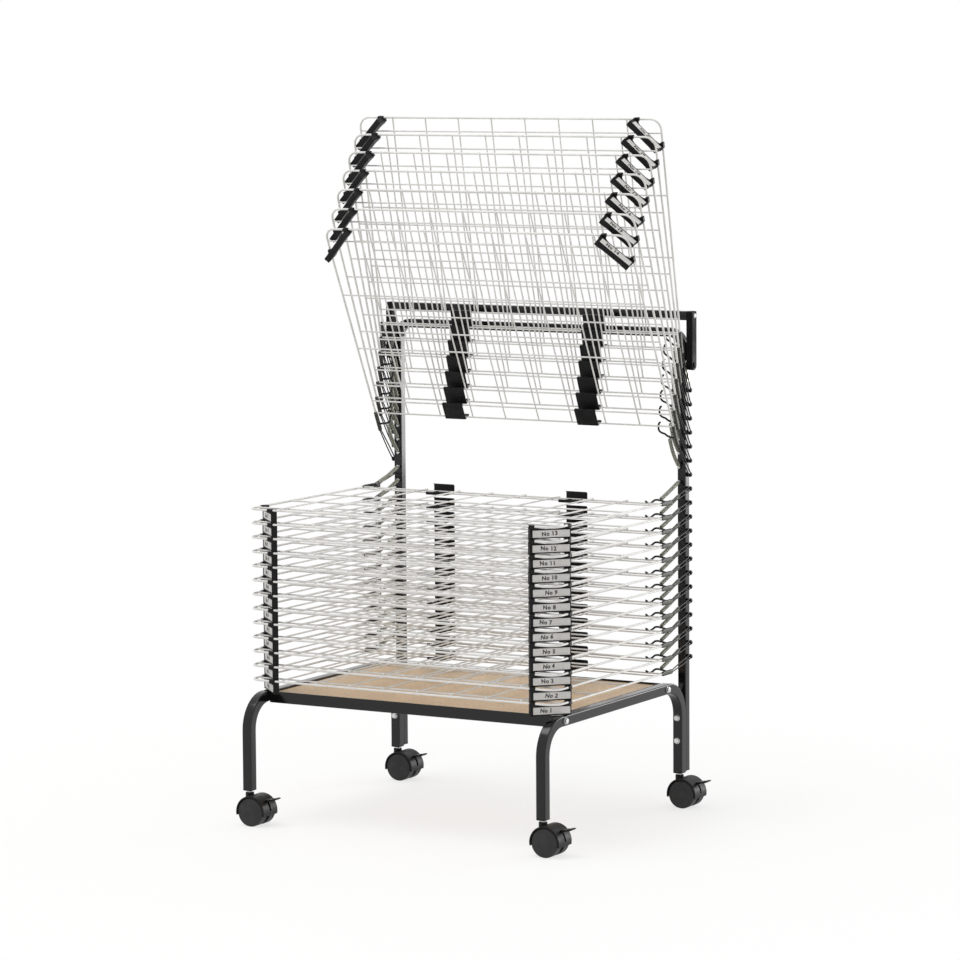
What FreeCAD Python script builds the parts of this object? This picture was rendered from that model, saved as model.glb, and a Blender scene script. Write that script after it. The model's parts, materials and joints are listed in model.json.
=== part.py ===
import FreeCAD, Part
import math
import os
import re

# A mobile art drying rack.  Two bent side frames carry a board tray between
# them and stand on four twin-wheel casters.  A bent back frame is bolted
# behind the rear legs, and twenty wire shelves turn on studs along its
# uprights, each held up or down by a pair of springs.
#
# +X is the rack's right, +Y its back and +Z up; the origin is on the floor at
# the centre of the four caster stems.  All lengths are millimetres.

V = FreeCAD.Vector
doc = FreeCAD.newDocument("DryingRack")

SIZES = [
    # side frames
    ("leg_span", 586), ("leg_reach", 500), ("leg_tube", 18), ("tube_wall", 1.2),
    ("leg_foot", 62), ("rail_top", 228), ("leg_bend", 53),
    # tray
    ("angle_leg", 20), ("angle_wall", 1.5), ("tray_depth", 392),
    ("board_thick", 15), ("board_slack", 0.5),
    # back frame
    ("back_tube", 16), ("back_top", 853), ("back_bend", 27), ("cap_thick", 2),
    # bolts
    ("bolt_af", 12), ("bolt_head", 5), ("tray_bolt_inset", 9),
    ("joint_bolt_low", 119), ("joint_bolt_high", 160),
    # shelves
    ("shelf_count", 20), ("lowered_count", 13), ("shelf_pitch", 25),
    ("shelf_side", 5), ("shelf_depth", 383), ("edge_wire", 4),
    ("grid_wire", 3), ("corner_bend", 30), ("bays", 9), ("edge_bay", 25),
    ("inner_bays", 3), ("raised_angle", 79.1), ("fan_step", 2.55),
    # hinge arms
    ("pivot_rise", 17), ("rear_reach", 109), ("sleeve_len", 38),
    ("sleeve_width", 8), ("sleeve_thick", 5), ("stud_across", 4),
    ("stud_length", 8), ("loop_wire", 2.2), ("loop_slack", 0.35),
    # label clips and rear stops
    ("clip_cut", 50), ("clip_thick", 10), ("clip_proud", 2.5), ("stack_slack", 0.3),
    ("stop_place", 136), ("stop_width", 42), ("stop_height", 14),
    ("stop_wall", 2.2),
    # springs
    ("hook_wire", 2.5), ("hook_inset", 38), ("hook_tail", 6),
    ("hook_turn", 8), ("hook_back", 24),
    ("spring_inset", 3), ("spring_across", 7), ("pin_rise", 13),
    ("pin_side", 3.2), ("pin_length", 6), ("seat_slack", 0.3),
    # retainer
    ("retainer_pivot", 788), ("retainer_top", 883), ("retainer_tube", 16),
    ("retainer_bar", 10), ("retainer_slack", 0.3), ("plate_wall", 2),
    ("plate_bottom", 757), ("plate_width", 20), ("plate_bolt", 768),
    ("plate_bolt_across", 8), ("plate_bolt_head", 3),
    ("pivot_pin", 6), ("pin_slack", 0.15), ("pin_head", 12),
    ("pin_head_thick", 2.5), ("rivet_head", 8),
    # casters
    ("wheel_size", 50), ("wheel_width", 18), ("wheel_trail", 14),
    ("web_thick", 8), ("wheel_gap", 0.5), ("fender_gap", 1.6),
    ("fender_wall", 2.2), ("hood_low_angle", 12), ("axle_size", 6),
    ("axle_slack", 0.15), ("stem_size", 8), ("stem_slack", 0.2),
    ("stem_foot", 50), ("boss_size", 15), ("boss_top", 57),
    ("socket_flange", 2), ("socket_depth", 24), ("brake_width", 16),
    ("brake_length", 22), ("brake_thick", 4), ("brake_gap", 0.4),
    ("brake_angle", 40), ("brake_tilt", 12),
]

sheet = doc.addObject("Spreadsheet::Sheet", "Sizes")
for row, (alias, value) in enumerate(SIZES, 1):
    sheet.set("A%d" % row, alias)
    sheet.set("B%d" % row, str(value))
    sheet.setAlias("B%d" % row, alias)
doc.recompute()

ALIASES = re.compile(r"\b(%s)\b" % "|".join(alias for alias, _ in SIZES))


def size(alias):
    """The number that the sheet holds under an alias."""
    return float(sheet.get(alias))


def bind(obj, **formulas):
    """Bind properties to formulas of the sheet; x, y and z are the place."""
    for name, formula in formulas.items():
        path = "Placement.Base." + name if name in ("x", "y", "z") else name
        obj.setExpression(path, ALIASES.sub(r"Sizes.\1", str(formula)))
    return obj


# ---------------------------------------------------------------- helpers

TURNS = {
    "x": FreeCAD.Rotation(V(0, 1, 0), 90),
    "y": FreeCAD.Rotation(V(1, 0, 0), -90),
    "z": FreeCAD.Rotation(),
}
nodes = []


def box(name, length, width, height, x, y, z):
    """A block whose sizes and corner follow the sheet."""
    obj = doc.addObject("Part::Box", name)
    return bind(obj, Length=length, Width=width, Height=height, x=x, y=y, z=z)


def rod(name, across, length, x, y, z, axis="z"):
    """A round rod along an axis, from the point given."""
    obj = doc.addObject("Part::Cylinder", name)
    obj.Placement.Rotation = TURNS[axis]
    return bind(obj, Radius="(%s) / 2" % across, Height=length, x=x, y=y, z=z)


def prism(name, sides, across, length, x, y, z, axis="z"):
    """A rod of few sides, measured across its corners."""
    obj = doc.addObject("Part::Prism", name)
    obj.Polygon = sides
    obj.Placement.Rotation = TURNS[axis]
    return bind(obj, Circumradius="(%s) / 2" % across, Height=length,
                x=x, y=y, z=z)


def cut(name, base, tool):
    obj = doc.addObject("Part::Cut", name)
    obj.Base, obj.Tool = base, tool
    return obj


def fuse(name, *pieces):
    obj = doc.addObject("Part::MultiFuse", name)
    obj.Shapes = list(pieces)
    return obj


def group(name, pieces):
    """Separate solids that share one sub-part."""
    obj = doc.addObject("Part::Compound", name)
    obj.Links = list(pieces)
    return obj


def feature(name, shape):
    obj = doc.addObject("Part::Feature", name)
    obj.Shape = shape
    return obj


def node(label, obj):
    """Name a finished sub-part; its file takes the same name."""
    obj.Label = label
    nodes.append(obj)
    return obj


def slab(points, extent):
    """A flat outline of points, carried along a vector."""
    loop = Part.makePolygon([V(*p) for p in points + points[:1]])
    return Part.Face(loop).extrude(V(*extent))


def bent_path(points, radius):
    """Straight runs through the points, joined by tangent arcs."""
    edges, start = [], V(*points[0])
    for i in range(1, len(points) - 1):
        corner = V(*points[i])
        back = (V(*points[i - 1]) - corner).normalize()
        ahead = (V(*points[i + 1]) - corner).normalize()
        half = back.getAngle(ahead) / 2
        reach = radius / math.tan(half)
        inward = (back + ahead).normalize()
        middle = corner + inward * (radius / math.sin(half) - radius)
        first, last = corner + back * reach, corner + ahead * reach
        edges.append(Part.LineSegment(start, first).toShape())
        edges.append(Part.Arc(first, middle, last).toShape())
        start = last
    edges.append(Part.LineSegment(start, V(*points[-1])).toShape())
    return Part.Wire(edges)


def bent_tube(points, radius, across, wall):
    """A hollow square tube along a path that starts out straight up."""
    path = bent_path(points, radius)
    x, y, z = points[0]

    def sweep(width):
        r = width / 2
        square = Part.makePolygon([V(x + a * r, y + b * r, z) for a, b in
                                   ((-1, -1), (1, -1), (1, 1), (-1, 1), (-1, -1))])
        return path.makePipeShell([square], True, True)

    return sweep(across).cut(sweep(across - 2 * wall))


def strip(points, width):
    """The outline of a flat strip that follows points, mitred at each."""
    sides = ([], [])
    for i, p in enumerate(points):
        before = points[max(i - 1, 0)]
        after = points[min(i + 1, len(points) - 1)]
        a = V(p[0] - before[0], p[1] - before[1], 0)
        b = V(after[0] - p[0], after[1] - p[1], 0)
        a = a if a.Length else b
        b = b if b.Length else a
        a.normalize()
        b.normalize()
        mitre = (V(-a.y, a.x, 0) + V(-b.y, b.x, 0)).normalize()
        reach = width / 2 / mitre.dot(V(-a.y, a.x, 0))
        for side, sign in zip(sides, (1, -1)):
            side.append((p[0] + sign * reach * mitre.x,
                         p[1] + sign * reach * mitre.y))
    return sides[0] + sides[1][::-1]


# ------------------------------------------------------------ base and tray

def side_frame(label, side):
    """Front leg, side rail and rear leg bent from one length of tube."""
    x = side * size("leg_span") / 2
    foot, reach = size("leg_foot"), size("leg_reach") / 2
    rail = size("rail_top") - size("leg_tube") / 2
    points = [(x, -reach, foot), (x, -reach, rail), (x, reach, rail),
              (x, reach, foot)]
    node(label, feature(label, bent_tube(points, size("leg_bend"),
                                         size("leg_tube"), size("tube_wall"))))


side_frame("side_frame_left", -1)
side_frame("side_frame_right", 1)

tray = box("TrayOuter", "leg_span - leg_tube", "tray_depth", "angle_leg",
           "(leg_tube - leg_span) / 2", "-tray_depth / 2",
           "rail_top - angle_leg")
recess = box("TrayRecess", "leg_span - leg_tube - 2 * angle_wall",
             "tray_depth - 2 * angle_wall", "angle_leg",
             "(leg_tube - leg_span) / 2 + angle_wall",
             "angle_wall - tray_depth / 2", "rail_top - angle_leg + angle_wall")
window = box("TrayWindow", "leg_span - leg_tube - 2 * angle_leg",
             "tray_depth - 2 * angle_leg", "angle_leg",
             "(leg_tube - leg_span) / 2 + angle_leg",
             "angle_leg - tray_depth / 2", "rail_top - angle_leg")
node("tray_frame", cut("Tray", tray, fuse("TrayHollow", recess, window)))

node("base_board", box(
    "Board", "leg_span - leg_tube - 2 * (angle_wall + board_slack)",
    "tray_depth - 2 * (angle_wall + board_slack)", "board_thick",
    "(leg_tube - leg_span) / 2 + angle_wall + board_slack",
    "angle_wall + board_slack - tray_depth / 2",
    "rail_top - angle_leg + angle_wall"))

heads = []
for side, tag in ((-1, "Left"), (1, "Right")):
    for end, place in ((-1, "Front"), (1, "Rear")):
        face = "(leg_span + leg_tube) / 2"
        heads.append(prism("TrayBolt" + tag + place, 6, "bolt_af", "bolt_head",
                           face if side > 0 else "-%s - bolt_head" % face,
                           "%d * (tray_depth / 2 - tray_bolt_inset)" % end,
                           "rail_top - leg_tube / 2", "x"))
node("tray_bolts", group("TrayBolts", heads))

# --------------------------------------------------------------- back frame

BACK_Y = "(leg_reach / 2 + leg_tube / 2 + back_tube / 2)"
back_y = (size("leg_reach") + size("leg_tube") + size("back_tube")) / 2


def back_frame():
    """Both uprights and the top bar bent from one length of tube."""
    x, foot = size("leg_span") / 2, size("leg_foot") + size("cap_thick")
    top = size("back_top") - size("back_tube") / 2
    points = [(-x, back_y, foot), (-x, back_y, top), (x, back_y, top),
              (x, back_y, foot)]
    return bent_tube(points, size("back_bend"), size("back_tube"),
                     size("tube_wall"))


node("back_frame", feature("BackFrame", back_frame()))

node("upright_caps", group("UprightCaps", [
    box("UprightCap" + tag, "back_tube", "back_tube", "cap_thick",
        "%d * leg_span / 2 - back_tube / 2" % side,
        BACK_Y + " - back_tube / 2", "leg_foot")
    for side, tag in ((-1, "Left"), (1, "Right"))]))

fixings = []
for side, tag in ((-1, "Left"), (1, "Right")):
    for level in ("joint_bolt_low", "joint_bolt_high"):
        name = "JointBolt" + tag + level[11:].title()
        fixings.append(prism(name + "Head", 6, "bolt_af", "bolt_head",
                             "%d * leg_span / 2" % side,
                             "(leg_reach - leg_tube) / 2 - bolt_head",
                             level, "y"))
        fixings.append(prism(name + "Nut", 6, "bolt_af", "bolt_head",
                             "%d * leg_span / 2" % side,
                             BACK_Y + " + back_tube / 2", level, "y"))
node("upright_bolts", group("UprightBolts", fixings))

# ------------------------------------------------------------------ shelves
# A shelf is built about its own pivot: the origin is on the axis of its two
# studs and the wires reach forward, towards -Y, below that axis.

WIDTH = "(leg_span + back_tube + 2 * shelf_side)"
shelf_width = size("leg_span") + size("back_tube") + 2 * size("shelf_side")
PLANE = "-pivot_rise"
REAR = "-rear_reach"
FRONT = "-(rear_reach + shelf_depth)"


def edge_wire():
    """The stout wire round the front and both sides, bent at two corners."""
    half, bend = shelf_width / 2, size("corner_bend")
    front = -size("rear_reach") - size("shelf_depth")
    rear = size("edge_wire") / 2 - size("rear_reach")
    turn = [(half, rear)]
    for step in range(3):
        angle = math.radians(45 * step)
        turn.append((half - bend + bend * math.cos(angle),
                     front + bend - bend * math.sin(angle)))
    path = turn + [(-x, y) for x, y in reversed(turn)]
    bottom = -size("pivot_rise") - size("edge_wire") / 2
    return slab([(x, y, bottom) for x, y in strip(path, size("edge_wire"))],
                (0, 0, size("edge_wire")))


def grid_wires():
    """Thin wires: the long ones end on the side wires, the cross ones lie
    on the long ones and on the front wire."""
    wires = []
    rows = ["%s + edge_bay + (shelf_depth - 2 * edge_bay) * %d / inner_bays"
            % (FRONT, i) for i in range(int(size("inner_bays")) + 1)]
    for i, y in enumerate(rows + [REAR]):
        wires.append(box("LongWire%d" % i, WIDTH + " - edge_wire",
                         "grid_wire", "grid_wire",
                         "(edge_wire - %s) / 2" % WIDTH, y + " - grid_wire / 2",
                         PLANE + " + edge_wire / 2 - grid_wire"))
    for i in range(1, int(size("bays"))):
        wires.append(box("CrossWire%d" % i, "grid_wire",
                         "shelf_depth + (edge_wire + grid_wire) / 2",
                         "grid_wire",
                         "%s * (%d / bays - 0.5) - grid_wire / 2" % (WIDTH, i),
                         FRONT + " - edge_wire / 2", PLANE + " + edge_wire / 2"))
    return wires


def label_clip(tag, side):
    """A bar under a front corner; it rests on the shelf or rail below."""
    if side > 0:
        x, y, turn = WIDTH + " / 2 - clip_cut", FRONT, 45
    else:
        x, y, turn = "-%s / 2" % WIDTH, FRONT + " + clip_cut", -45
    clip = doc.addObject("Part::Box", "LabelClip" + tag)
    clip.Placement.Rotation = FreeCAD.Rotation(V(0, 0, 1), turn)
    return bind(clip, Length="clip_cut * sqrt(2)", Width="clip_thick",
                Height="shelf_pitch - edge_wire - stack_slack",
                x="%s + %d * clip_proud * sqrt(2) / 2" % (x, side),
                y=y + " - clip_proud * sqrt(2) / 2",
                z=PLANE + " - shelf_pitch + edge_wire / 2 + stack_slack")


def rear_stop(side):
    """An angle under the two rear wires, its plate standing behind them."""
    wire, wall = size("grid_wire"), size("stop_wall")
    top = size("edge_wire") / 2 - size("pivot_rise")
    base = top - wire
    back = wire / 2 - size("rear_reach")
    fore = -size("rear_reach") - size("edge_bay") - wire / 2
    x = side * size("stop_place") - size("stop_width") / 2
    tall = size("stop_height") - size("pivot_rise")
    profile = [(x, fore, base - wall), (x, back + wall, base - wall),
               (x, back + wall, tall), (x, back, tall), (x, back, base),
               (x, fore, base)]
    return slab(profile, (size("stop_width"), 0, 0))


SPRING_X = "(leg_span / 2 - spring_inset)"
spring_place = size("leg_span") / 2 - size("spring_inset")


def hinge_sleeve(tag, side):
    """The flattened sleeve on the end of a side wire."""
    return box("Sleeve" + tag, "sleeve_thick", "sleeve_len - edge_wire / 2",
               "sleeve_width",
               "%d * %s / 2 - sleeve_thick / 2" % (side, WIDTH),
               REAR + " + edge_wire / 2", PLANE + " - sleeve_width / 2")


def hinge_loop(side):
    """A hairpin of wire from the sleeve, closed round the stud."""
    inner = size("stud_across") / 2 + size("loop_slack")
    end = V(0, size("sleeve_len") - size("rear_reach"), -size("pivot_rise"))
    along = V(end).normalize()
    over = V(0, -along.z, along.y)
    tangent = math.tan(math.radians(22.5))

    def bow(r):
        corners = [(-r * tangent, r), (-r, r * tangent), (-r, -r * tangent),
                   (-r * tangent, -r)]
        arc = [along * a + over * b for a, b in corners]
        ends = [along * ((end.y - over.y * b) / along.y) + over * b
                for b in (r, -r)]
        return [ends[0]] + arc + [ends[1]]

    x = side * shelf_width / 2 - size("loop_wire") / 2
    outline = bow(inner + size("loop_wire")) + bow(inner)[::-1]
    return slab([(x, p.y, p.z) for p in outline], (size("loop_wire"), 0, 0))


def spring_hook(side):
    """A bent wire on the rear wire that ends on the sleeve."""
    rear = -size("rear_reach")
    across = (shelf_width - size("sleeve_thick")) / 2
    inner = shelf_width / 2 - size("hook_inset")
    path = [(inner, rear - size("hook_tail")),
            (inner, rear + size("hook_turn")),
            (spring_place - size("spring_across") / 2,
             rear + size("hook_back")),
            (across, rear + size("hook_back"))]
    base = size("edge_wire") / 2 - size("pivot_rise")
    outline = strip([(side * x, y) for x, y in path], size("hook_wire"))
    return slab([(x, y, base) for x, y in outline], (0, 0, size("hook_wire")))


shelf_solids = [feature("EdgeWire", edge_wire())] + grid_wires()
for side, tag in ((-1, "Left"), (1, "Right")):
    shelf_solids += [label_clip(tag, side),
                     feature("RearStop" + tag, rear_stop(side)),
                     hinge_sleeve(tag, side),
                     feature("HingeLoop" + tag, hinge_loop(side)),
                     feature("SpringHook" + tag, spring_hook(side))]

shelf_count, lowered_count = int(size("shelf_count")), int(size("lowered_count"))
FIRST_PIVOT = "(rail_top + shelf_pitch - edge_wire / 2 + pivot_rise)"


def pivot_height(i):
    return "%s + %d * shelf_pitch" % (FIRST_PIVOT, i)


def lean(i):
    """How far a shelf is turned up; the raised ones fan out from the top."""
    if i < lowered_count:
        return "0"
    return "raised_angle - %d * fan_step" % (shelf_count - 1 - i)


for i in range(shelf_count):
    shelf = group("Shelf%02d" % (i + 1), shelf_solids)
    shelf.Placement.Rotation = FreeCAD.Rotation(V(-1, 0, 0), 1)
    bind(shelf, y=BACK_Y, z=pivot_height(i))
    shelf.setExpression("Placement.Rotation.Angle",
                        ALIASES.sub(r"Sizes.\1", lean(i)))
    node("shelf_%02d" % (i + 1), shelf)

# -------------------------------------------------------- studs and springs

for side, tag in ((-1, "left"), (1, "right")):
    face = "(leg_span + back_tube) / 2"
    node("hinge_studs_" + tag, group("Studs" + tag.title(), [
        prism("Stud%s%02d" % (tag.title(), i + 1), 8, "stud_across",
              "stud_length", face if side > 0 else "-%s - stud_length" % face,
              BACK_Y, pivot_height(i), "x")
        for i in range(shelf_count)]))

node("spring_pins", group("SpringPins", [
    box("SpringPin%s%02d" % (tag, i + 1), "pin_side", "pin_length", "pin_side",
        "%d * %s - pin_side / 2" % (side, SPRING_X),
        BACK_Y + " - back_tube / 2 - pin_length",
        pivot_height(i) + " + pin_rise - pin_side / 2")
    for side, tag in ((-1, "Left"), (1, "Right"))
    for i in range(shelf_count)]))


def spring(side, i):
    """A coil spring's envelope between its hook and its pin."""
    angle = math.radians(float(size("raised_angle") - (shelf_count - 1 - i)
                               * size("fan_step")) if i >= lowered_count else 0)
    coil, slack = size("spring_across") / 2, size("seat_slack")
    reach = size("rear_reach") - size("hook_back")
    rise = (size("edge_wire") + size("hook_wire")) / 2 - size("pivot_rise")
    hook = V(0, rise * math.sin(angle) - reach * math.cos(angle),
             rise * math.cos(angle) + reach * math.sin(angle))
    pin = V(0, -size("back_tube") / 2 - size("pin_length"), size("pin_rise"))
    run = (pin - hook).normalize()
    level = abs(run.y * math.cos(angle) - run.z * math.sin(angle))
    steep = math.sqrt(max(1 - level ** 2, 0))
    wire, stub = size("hook_wire") / 2, size("pin_side") / 2
    from_hook = (wire + slack + wire * steep) / level
    from_pin = min((slack + stub * abs(run.z)) / abs(run.y),
                   (slack + stub) / abs(run.z))
    start, stop = hook + run * from_hook, pin - run * from_pin
    place = V(side * spring_place, back_y,
              size("rail_top") - size("edge_wire") / 2 + size("pivot_rise")
              + (i + 1) * size("shelf_pitch"))
    ring = []
    across = V(1, 0, 0)
    over = run.cross(across)
    for corner in range(6):
        turn = math.radians(60 * corner)
        ring.append(place + start + (across * math.cos(turn)
                                     + over * math.sin(turn)) * coil)
    return slab([tuple(p) for p in ring], tuple(stop - start))


for label, low, high in (("springs_lowered", 0, lowered_count),
                         ("springs_raised", lowered_count, shelf_count)):
    node(label, feature(label, Part.makeCompound(
        [spring(side, i) for side in (-1, 1) for i in range(low, high)])))

# ----------------------------------------------------------------- retainer

outer_face = "(leg_span + back_tube) / 2"
arm_face = "(%s + plate_wall + retainer_slack)" % outer_face
plates, pins, arms, rivets = [], [], [], []
for side, tag in ((-1, "Left"), (1, "Right")):
    def mirrored(start, length):
        """Where a span that starts outside an upright begins on this side."""
        return start if side > 0 else "-(%s) - (%s)" % (start, length)

    plate = fuse("PlateBody" + tag,
                 box("PlateFlat" + tag, "plate_wall", "plate_width",
                     "retainer_pivot - plate_bottom",
                     mirrored(outer_face, "plate_wall"),
                     BACK_Y + " - plate_width / 2", "plate_bottom"),
                 rod("PlateRound" + tag, "plate_width", "plate_wall",
                     mirrored(outer_face, "plate_wall"), BACK_Y,
                     "retainer_pivot", "x"))
    plates.append(plate)
    pins.append(prism("PlateBolt" + tag, 6, "plate_bolt_across", "plate_bolt_head",
                      mirrored(outer_face + " + plate_wall", "plate_bolt_head"),
                      BACK_Y, "plate_bolt", "x"))
    shank = rod("PinShank" + tag, "pivot_pin",
                "retainer_bar + 2 * retainer_slack",
                mirrored(outer_face + " + plate_wall",
                         "retainer_bar + 2 * retainer_slack"),
                BACK_Y, "retainer_pivot", "x")
    head = prism("PinHead" + tag, 12, "pin_head", "pin_head_thick",
                 mirrored(arm_face + " + retainer_bar + retainer_slack",
                          "pin_head_thick"), BACK_Y, "retainer_pivot", "x")
    pins.append(fuse("PivotPin" + tag, shank, head))
    flat = box("ArmFlat" + tag, "retainer_bar", "retainer_tube",
               "retainer_top - retainer_pivot",
               mirrored(arm_face, "retainer_bar"),
               BACK_Y + " - retainer_tube / 2", "retainer_pivot")
    end = rod("ArmEnd" + tag, "retainer_tube", "retainer_bar",
              mirrored(arm_face, "retainer_bar"), BACK_Y, "retainer_pivot", "x")
    bore = rod("ArmBore" + tag, "pivot_pin + 2 * pin_slack", "retainer_bar",
               mirrored(arm_face, "retainer_bar"), BACK_Y, "retainer_pivot", "x")
    arms.append(cut("Arm" + tag, fuse("ArmBlank" + tag, flat, end), bore))
    rivets.append(prism("Rivet" + tag, 12, "rivet_head", "pin_head_thick",
                        mirrored(arm_face + " + retainer_bar", "pin_head_thick"),
                        BACK_Y, "retainer_top - retainer_tube / 2", "x"))

node("retainer_plates", group("Plates", plates))
node("retainer_pins", group("Pins", pins))
node("retainer_arms", group("Arms", arms))
node("retainer_rivets", group("Rivets", rivets))
bar = box("BarOuter", "2 * " + arm_face, "retainer_tube", "retainer_tube",
          "-" + arm_face, BACK_Y + " - retainer_tube / 2",
          "retainer_top - retainer_tube")
bar_hollow = box("BarHollow", "2 * " + arm_face,
                 "retainer_tube - 2 * tube_wall",
                 "retainer_tube - 2 * tube_wall", "-" + arm_face,
                 BACK_Y + " - retainer_tube / 2 + tube_wall",
                 "retainer_top - retainer_tube + tube_wall")
node("retainer_crossbar", cut("Crossbar", bar, bar_hollow))

# ------------------------------------------------------------------ casters
# A caster is built about its stem: the origin is on the floor under the
# stem and the wheels trail towards +X.

SPREAD = "(web_thick / 2 + wheel_gap + wheel_width)"
MID_HOOD = "(wheel_size + 2 * fender_gap + fender_wall)"
HOOD_FLATS = 16


def fender():
    """A hood over both wheels: a band in flats about the axle, from just
    below the axle's height at the front over the top to the same at the back."""
    axle = V(size("wheel_trail"), 0, size("wheel_size") / 2)
    inner = size("wheel_size") / 2 + size("fender_gap")
    outer = inner + size("fender_wall")
    half = size("web_thick") / 2 + size("wheel_gap") + size("wheel_width")
    low = size("hood_low_angle")
    turns = [math.radians(-low + (180 + 2 * low) * k / HOOD_FLATS)
             for k in range(HOOD_FLATS + 1)]
    outline = [axle + V(r * math.cos(a), -half, r * math.sin(a))
               for r, run in ((outer, turns), (inner, turns[::-1])) for a in run]
    return slab([tuple(p) for p in outline], (0, 2 * half, 0))


def caster_pieces():
    """The hood, the web that holds the axle and the boss round the stem."""
    hood = fuse("Hood", feature("Fender", fender()),
                cut("Boss", prism("BossBlank", 8, "boss_size",
                                  "boss_top - wheel_size / 2", 0, 0,
                                  "wheel_size / 2"),
                    prism("WheelRoom", 24, MID_HOOD, "2 * " + SPREAD,
                          "wheel_trail", "-" + SPREAD, "wheel_size / 2", "y")),
                prism("Web", 24, MID_HOOD, "web_thick", "wheel_trail",
                      "-web_thick / 2", "wheel_size / 2", "y"))
    room = fuse("HoodRoom",
                box("WebTrim", "2 * " + MID_HOOD, "web_thick", "wheel_size / 2",
                    "wheel_trail - " + MID_HOOD, "-web_thick / 2", "-axle_size"),
                prism("StemBore", 12,
                      "(stem_size + 2 * stem_slack) / cos(15 deg)",
                      "boss_top - stem_foot", 0, 0, "stem_foot"),
                prism("AxleBore", 12,
                      "(axle_size + 2 * axle_slack) / cos(15 deg)", "web_thick",
                      "wheel_trail", "-web_thick / 2", "wheel_size / 2", "y"))
    return cut("Housing", hood, room)


def wheel(name, start, stub):
    """A wheel pressed on its half of the axle, which turns in the web."""
    return fuse(name, prism(name + "Disc", 40, "wheel_size", "wheel_width",
                            "wheel_trail", start, "wheel_size / 2", "y"),
                rod(name + "Stub", "axle_size",
                    "web_thick / 2 + wheel_gap - axle_slack",
                    "wheel_trail", stub, "wheel_size / 2", "y"))


def brake():
    """A toe lever: a barrel on the hood's rim and a pad with a bevelled tip."""
    around = math.radians(size("brake_angle"))
    tilt = math.radians(size("brake_tilt"))
    barrel = size("brake_thick") / 2
    radius = (size("wheel_size") / 2 + size("fender_gap") + size("fender_wall")
              + size("brake_gap") + barrel)
    x = size("wheel_trail") + radius * math.cos(around)
    z = size("wheel_size") / 2 + radius * math.sin(around)
    start = V(x, -size("brake_width") / 2, z)
    along = V(math.cos(tilt), 0, math.sin(tilt))
    over = V(-along.z, 0, along.x) * barrel
    tip = start + along * size("brake_length")
    bevel = tip - along * 2 * barrel
    pad = slab([tuple(p) for p in (start - over, tip - over, tip - over * 0.5,
                                   bevel + over, start + over)],
               (0, size("brake_width"), 0))
    turn = Part.makeCylinder(barrel, size("brake_width"), start, V(0, 1, 0))
    return pad.fuse(turn).removeSplitter()


caster = {
    "housing": caster_pieces(),
    "wheel_front": wheel("WheelFront", "-" + SPREAD,
                         "-web_thick / 2 - wheel_gap"),
    "wheel_rear": wheel("WheelRear", "web_thick / 2 + wheel_gap",
                        "axle_slack"),
    "brake": feature("Brake", brake()),
}
sockets, stems = [], []
for corner, sx, sy in (("fl", -1, -1), ("fr", 1, -1), ("rl", -1, 1),
                       ("rr", 1, 1)):
    x, y = "%d * leg_span / 2" % sx, "%d * leg_reach / 2" % sy
    for piece, master in caster.items():
        node("caster_%s_%s" % (corner, piece),
             bind(group("Caster_%s_%s" % (corner, piece), [master]), x=x, y=y))
    stems.append(rod("Stem" + corner, "stem_size",
                     "leg_foot + socket_depth - socket_flange - stem_foot",
                     x, y, "stem_foot"))
    plug = fuse("Plug" + corner,
                box("Flange" + corner, "leg_tube", "leg_tube", "socket_flange",
                    x + " - leg_tube / 2", y + " - leg_tube / 2",
                    "leg_foot - socket_flange"),
                box("Body" + corner, "leg_tube - 2 * tube_wall",
                    "leg_tube - 2 * tube_wall", "socket_depth - socket_flange",
                    x + " - leg_tube / 2 + tube_wall",
                    y + " - leg_tube / 2 + tube_wall", "leg_foot"))
    sockets.append(cut("Socket" + corner, plug,
                       prism("SocketBore" + corner, 8,
                             "stem_size / cos(22.5 deg)", "socket_depth",
                             x, y, "leg_foot - socket_flange")))
node("caster_sockets", group("Sockets", sockets))
node("caster_stems", group("Stems", stems))

# ------------------------------------------------------------------- output

doc.recompute()
for obj in doc.Objects:
    if "Invalid" in obj.State or "Error" in obj.State:
        raise RuntimeError("%s did not rebuild: %s" % (obj.Name, obj.State))
for obj in nodes:
    if obj.Shape.isNull() or not obj.Shape.isValid():
        raise RuntimeError("%s has no valid shape" % obj.Label)

os.makedirs("parts", exist_ok=True)
for obj in nodes:
    obj.Shape.exportStep("parts/%s.step" % obj.Label)
print("%d sub-parts, %d solids" % (len(nodes), sum(len(obj.Shape.Solids)
                                                   for obj in nodes)))
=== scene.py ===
# %% [markdown]
# # A mobile art drying rack
#
# A school art room dries wet paintings on a rack like this one: twenty wire
# shelves hinged one above another on a bent steel frame, a board tray
# below them and four casters.  The moving bodies and their exact places come
# ready made from a solid model.  This lesson dresses that model: it makes each
# visible piece again with rounded edges, round wires and real finishes, and
# lets each piece ride on the body that it belongs to.

# %% Load the solid model
import json
import math
import random

import bmesh
import bpy
from mathutils import Matrix, Vector


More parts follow.
